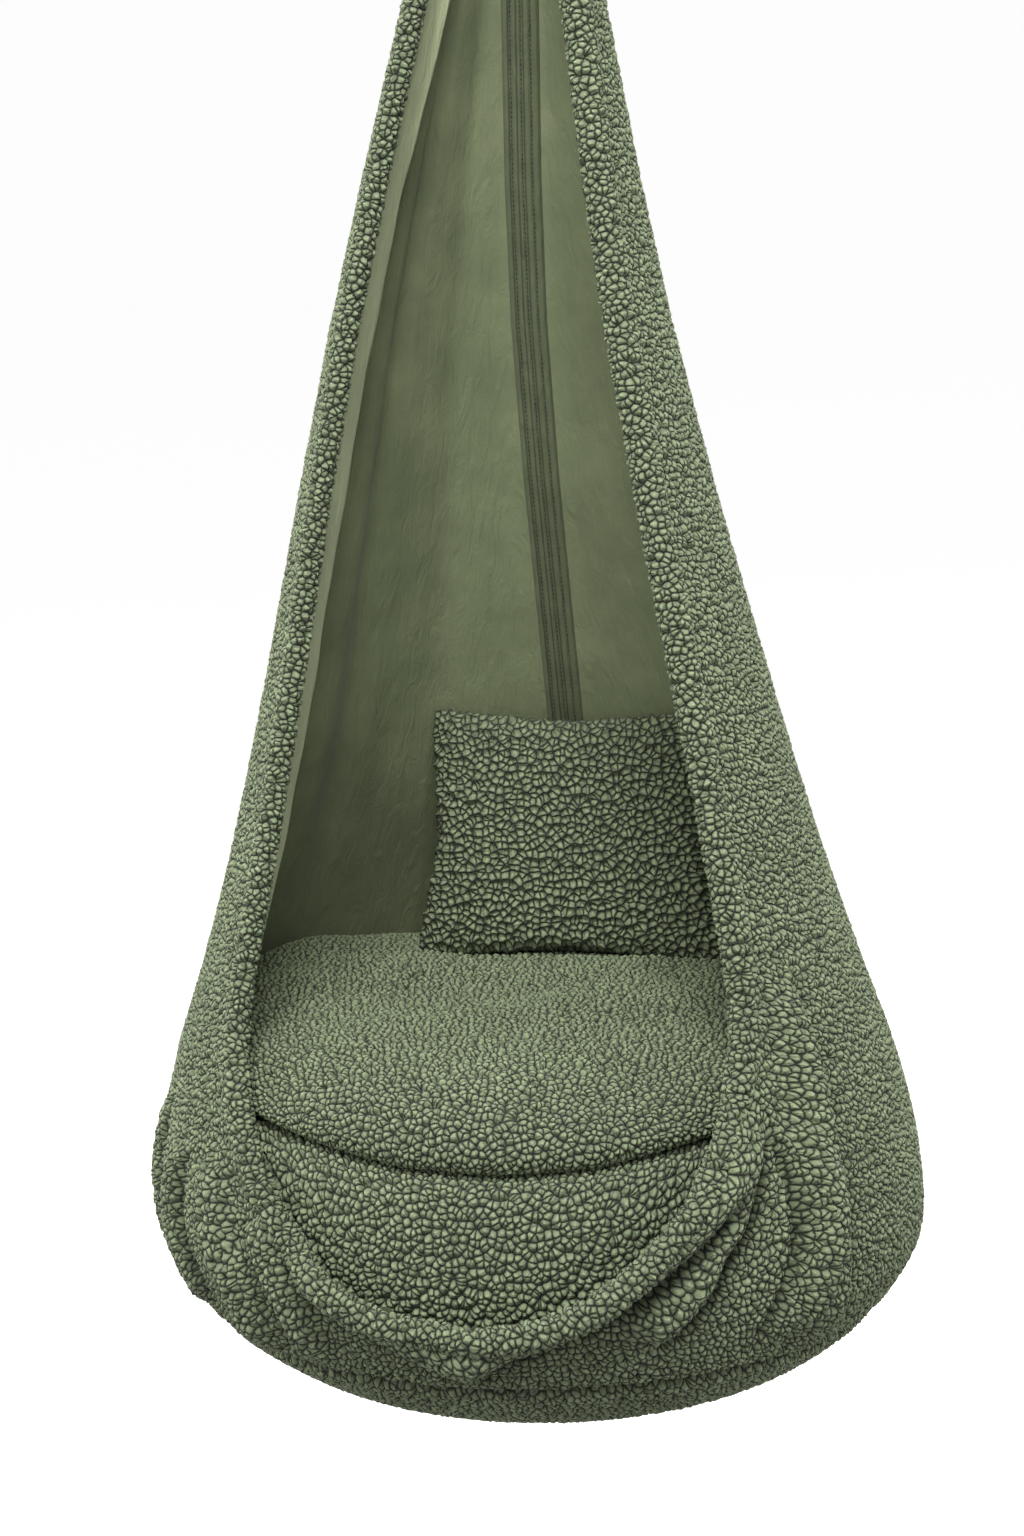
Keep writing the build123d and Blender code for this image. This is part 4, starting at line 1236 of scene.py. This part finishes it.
def webbing_material():
    """Flat woven webbing: ribs along the strap crossed by a fine weft, from its UV map in metres."""
    material, tree, shader = new_material("green_webbing")
    place = place_on(tree, "UV")
    ribs, weft = (node(tree, "ShaderNodeTexWave", {"bands_direction": way}, Vector=place, Scale=scale,
                       Distortion=0.4).outputs["Fac"] for way, scale in (("X", 110.0), ("Y", 170.0)))
    weave = maths(tree, "MULTIPLY", ribs, weft)
    body = ramp(tree, weave, list(zip((0.0, 1.0), WEBBING_TONES)))
    feed(tree, shader, Base_Color=body, Normal=bump(tree, weave, 0.8, 0.0006), Roughness=0.8)
    return material


def steel_material():
    """Satin steel with faint brushing."""
    material, tree, shader = new_material("satin_steel")
    brush = cloudy(tree, place_on(tree), 400.0, 4.0)
    rough = node(tree, "ShaderNodeMapRange", Value=brush, To_Min=0.38, To_Max=0.55).outputs["Result"]
    feed(tree, shader, Base_Color=STEEL, Metallic=1.0, Roughness=rough)
    return material


def plain_cloth(name, tones, scale):
    """A plain cloth or thread: two close tones and a fine grain."""
    material, tree, shader = new_material(name)
    grain = cloudy(tree, place_on(tree), scale, 4.0)
    body = ramp(tree, grain, list(zip((0.3, 0.7), tones)))
    feed(tree, shader, Base_Color=body, Normal=bump(tree, grain, 0.4, 0.0008), Roughness=0.9)
    return material


pile, steel, webbing = pile_material(), steel_material(), webbing_material()
lining = lining_material("smooth_lining", LINING_TONES)
# The facing's lighter colour holds painted sheen
facing = lining_material("satin_facing_painted_sheen", FACING_PAINTED_SHEEN_TONES)
sewn_tape = lining_material("sewn_tape", TAPE_TONES, TAPE_ROWS)
thread = plain_cloth("stitch_thread", THREAD_TONES, 1500.0)
band_cloth = plain_cloth("collar_cloth", COLLAR_TONES, 900.0)
wadding = plain_cloth("white_wadding", WADDING_TONES, 300.0)


def dress(piece, material, body, slot, *nodes):
    """Gives a piece its material, the pod's sway and its body, and hides the nodes that it stands for. Its slot
    is not used.
    """
    piece.data.materials.clear()
    piece.data.materials.append(material)
    points = coords(piece)
    points[:, 0] += np.interp(points[:, 2] - base_z, *np.array(SWAY).T)
    set_coords(piece, points)
    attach(piece, body)
    if nodes:
        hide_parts(*nodes)
    return piece


# Making the pieces
skin = pod_skin()
for panel, hangs_from in (("upper_left_panel", ["neck_collar"]), ("upper_right_panel", ["neck_collar"]),
                          ("outer_left_panel", ["upper_left_panel"]),
                          ("outer_right_panel", ["upper_right_panel"]),
                          ("front_panel", ["outer_left_panel", "outer_right_panel"]),
                          ("base_panel", ["outer_left_panel", "outer_right_panel", "front_panel"])):
    piece = dress(pile_panel(panel, skin), pile, "chair", "pile_cloth", panel)
    declare_cloth(piece)
skin.free()

for name in RIM:
    dress(rolled_edge(name), pile, "chair", "pile_cloth", name)
whole_rim = np.vstack([RIM["left_rim"][::-1], RIM["front_rim"][1:-1], RIM["right_rim"]])
dress(tube("rim_cord_core", whole_rim, RIM_CORD_RADIUS, RIM_CORD_STEP), thread, "chair", "cord", "rim_cord")

for name, side in (("left", -1), ("right", 1)):
    label = f"lining_{name}_panel"
    piece = dress(lining_panel(label, side), lining, "chair", "lining_cloth", label)
    declare_cloth(piece)
    piece = dress(hem(f"lining_{name}_hem", side), facing, "chair", "lining_cloth")
    declare_cloth(piece)
declare_cloth(dress(lining_floor(), lining, "chair", "lining_cloth", "lining_base"))
thread_rows = dress(tape_stitches(), thread, "chair", "cord")
piece = dress(tape(), sewn_tape, "chair", "lining_cloth", "back_seam_tape")
declare_cloth(piece)

pillow = add_nubs(pillow_form(), PILLOW_NUB_HEIGHT)
pillow_middle, _, _, pillow_facing = pillow_frame()
for name, sign in (("pillow_front_cover", 1), ("pillow_back_cover", -1)):
    cover = part_off(pillow, name + "_cloth", lambda p: sign * (p - pillow_middle).dot(pillow_facing) > 0)
    dress(cover, pile, "pillow", "pile_cloth", name)
inner = pillow_form()
set_coords(inner, (coords(inner) - np.array(pillow_middle)) * WADDING_SHARE + np.array(pillow_middle))
inner.name = "pillow_wadding"
dress(inner, wadding, "pillow", "filling", "pillow_filling")

for name, line, step, pressed_by in (("cushion_top_cover", CUSHION_TOP, CUSHION_STEP, pillow),
                                     ("cushion_side_cover", CUSHION_SIDE, CUSHION_STEP, None),
                                     ("cushion_bottom_cover", CUSHION_BOTTOM, UNDERSIDE_STEP, None)):
    cover = cushion_cover(name, line, step, pressed_by)
    dress(cover, pile, "chair", "pile_cloth", name)
bpy.data.objects.remove(pillow)
stuffing = filling("cushion_wadding", CUSHION_TOP + CUSHION_SIDE[1:] + CUSHION_BOTTOM[1:])
dress(stuffing, wadding, "chair", "filling", "cushion_filling")

dress(gather(), pile, "chair", "pile_cloth", "neck_gather")
dress(collar(), band_cloth, "chair", "collar_cloth", "neck_collar")
dress(collar_stitches(), thread, "chair", "cord")
for name in ("hanging_strap_left", "hanging_strap_middle", "hanging_strap_right"):
    dress(strap(name), webbing, "chair", "webbing", name)

for name in ("swivel_eye", "swivel_bolt", "swivel_jaw", "clevis_pin", "clevis_nut", "hanging_ring",
             "bearing_lower_race", "bearing_upper_race", "bearing_balls"):
    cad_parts[name].data.materials.clear()
    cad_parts[name].data.materials.append(steel)

# Floor, light and camera
FLOOR_DROP = 0.55
FLOOR_LINE = [(0, 0), (9, 0), (12, 0.7), (14, 3), (14, 12)]
FLOOR_STEP = 0.3
FLOOR_TURNS = 96
# Soft lamps: place, with the height from the pod's lowest point, and power
LIGHTS = {"key": ((0.30, -2.1, 3.3), 138), "front": ((-0.9, -2.7, 1.2), 15), "left": ((-3.0, 0.0, 1.3), 64),
          "right": ((3.0, 0.0, 1.3), 40), "back": ((0.8, 3.0, 2.4), 60)}
LIGHT_SIZE = 1.6
LIT_HEIGHT = 0.6
WORLD_LIGHT = 0.34
AXIS_TURN = 11.0
CAMERA_DISTANCE = 2.75
CAMERA_HEIGHT = 1.05
CAMERA_PITCH = 10.0
CAMERA_YAW = 0.31
CAMERA_ROLL = -1.33
CAMERA_LENS = 71.0
CAMERA_SENSOR = 36.0


def add_stage():
    """A pale round floor that curves up far away on all sides, so that no view is blocked."""
    form = bmesh.new()
    line = curved(FLOOR_LINE, FLOOR_STEP)
    verts = [form.verts.new((reach, 0, base_z - FLOOR_DROP + z)) for reach, z in line]
    edges = [form.edges.new(pair) for pair in zip(verts, verts[1:])]
    bmesh.ops.spin(form, geom=verts + edges, cent=(0, 0, 0), axis=UP, angle=2 * pi, steps=FLOOR_TURNS,
                   use_merge=True)
    merge(form)
    face_out(form)
    floor = new_piece("floor", form)
    material, tree, shader = new_material("pale_floor")
    feed(tree, shader, Base_Color=(0.9, 0.9, 0.9, 1), Roughness=0.9, Emission_Color=(1, 1, 1, 1),
         Emission_Strength=0.62)
    floor.data.materials.append(material)
    floor.visible_diffuse = False


def add_light(name, place, power):
    """A large soft lamp that looks at the middle of the pod."""
    lamp = bpy.data.lights.new(name, "AREA")
    lamp.energy, lamp.size = power, LIGHT_SIZE
    holder = bpy.data.objects.new(name, lamp)
    holder.location = Vector(place) + UP * base_z
    holder.rotation_euler = (UP * (base_z + LIT_HEIGHT) - holder.location).to_track_quat("-Z", "Y").to_euler()
    scene.collection.objects.link(holder)


def add_camera():
    """The camera at the photograph's viewing angle."""
    turn = radians(AXIS_TURN)
    camera = bpy.data.objects.new("camera", bpy.data.cameras.new("camera"))
    camera.data.lens = CAMERA_LENS
    camera.data.sensor_width = CAMERA_SENSOR
    camera.location = (sin(turn) * CAMERA_DISTANCE, -cos(turn) * CAMERA_DISTANCE, base_z + CAMERA_HEIGHT)
    heading = Matrix.Rotation(turn + radians(CAMERA_YAW), 4, "Z")
    heading = heading @ Matrix.Rotation(radians(90 - CAMERA_PITCH), 4, "X")
    camera.rotation_euler = (heading @ Matrix.Rotation(radians(CAMERA_ROLL), 4, "Z")).to_euler()
    scene.collection.objects.link(camera)
    scene.camera = camera


add_stage()
for name, (place, power) in LIGHTS.items():
    add_light(name, place, power)
world = bpy.data.worlds.new("studio")
world.use_nodes = True
feed(world.node_tree, world.node_tree.nodes["Background"], Color=(1, 1, 1, 1), Strength=WORLD_LIGHT)
scene.world = world
scene.view_settings.view_transform = "Standard"
add_camera()
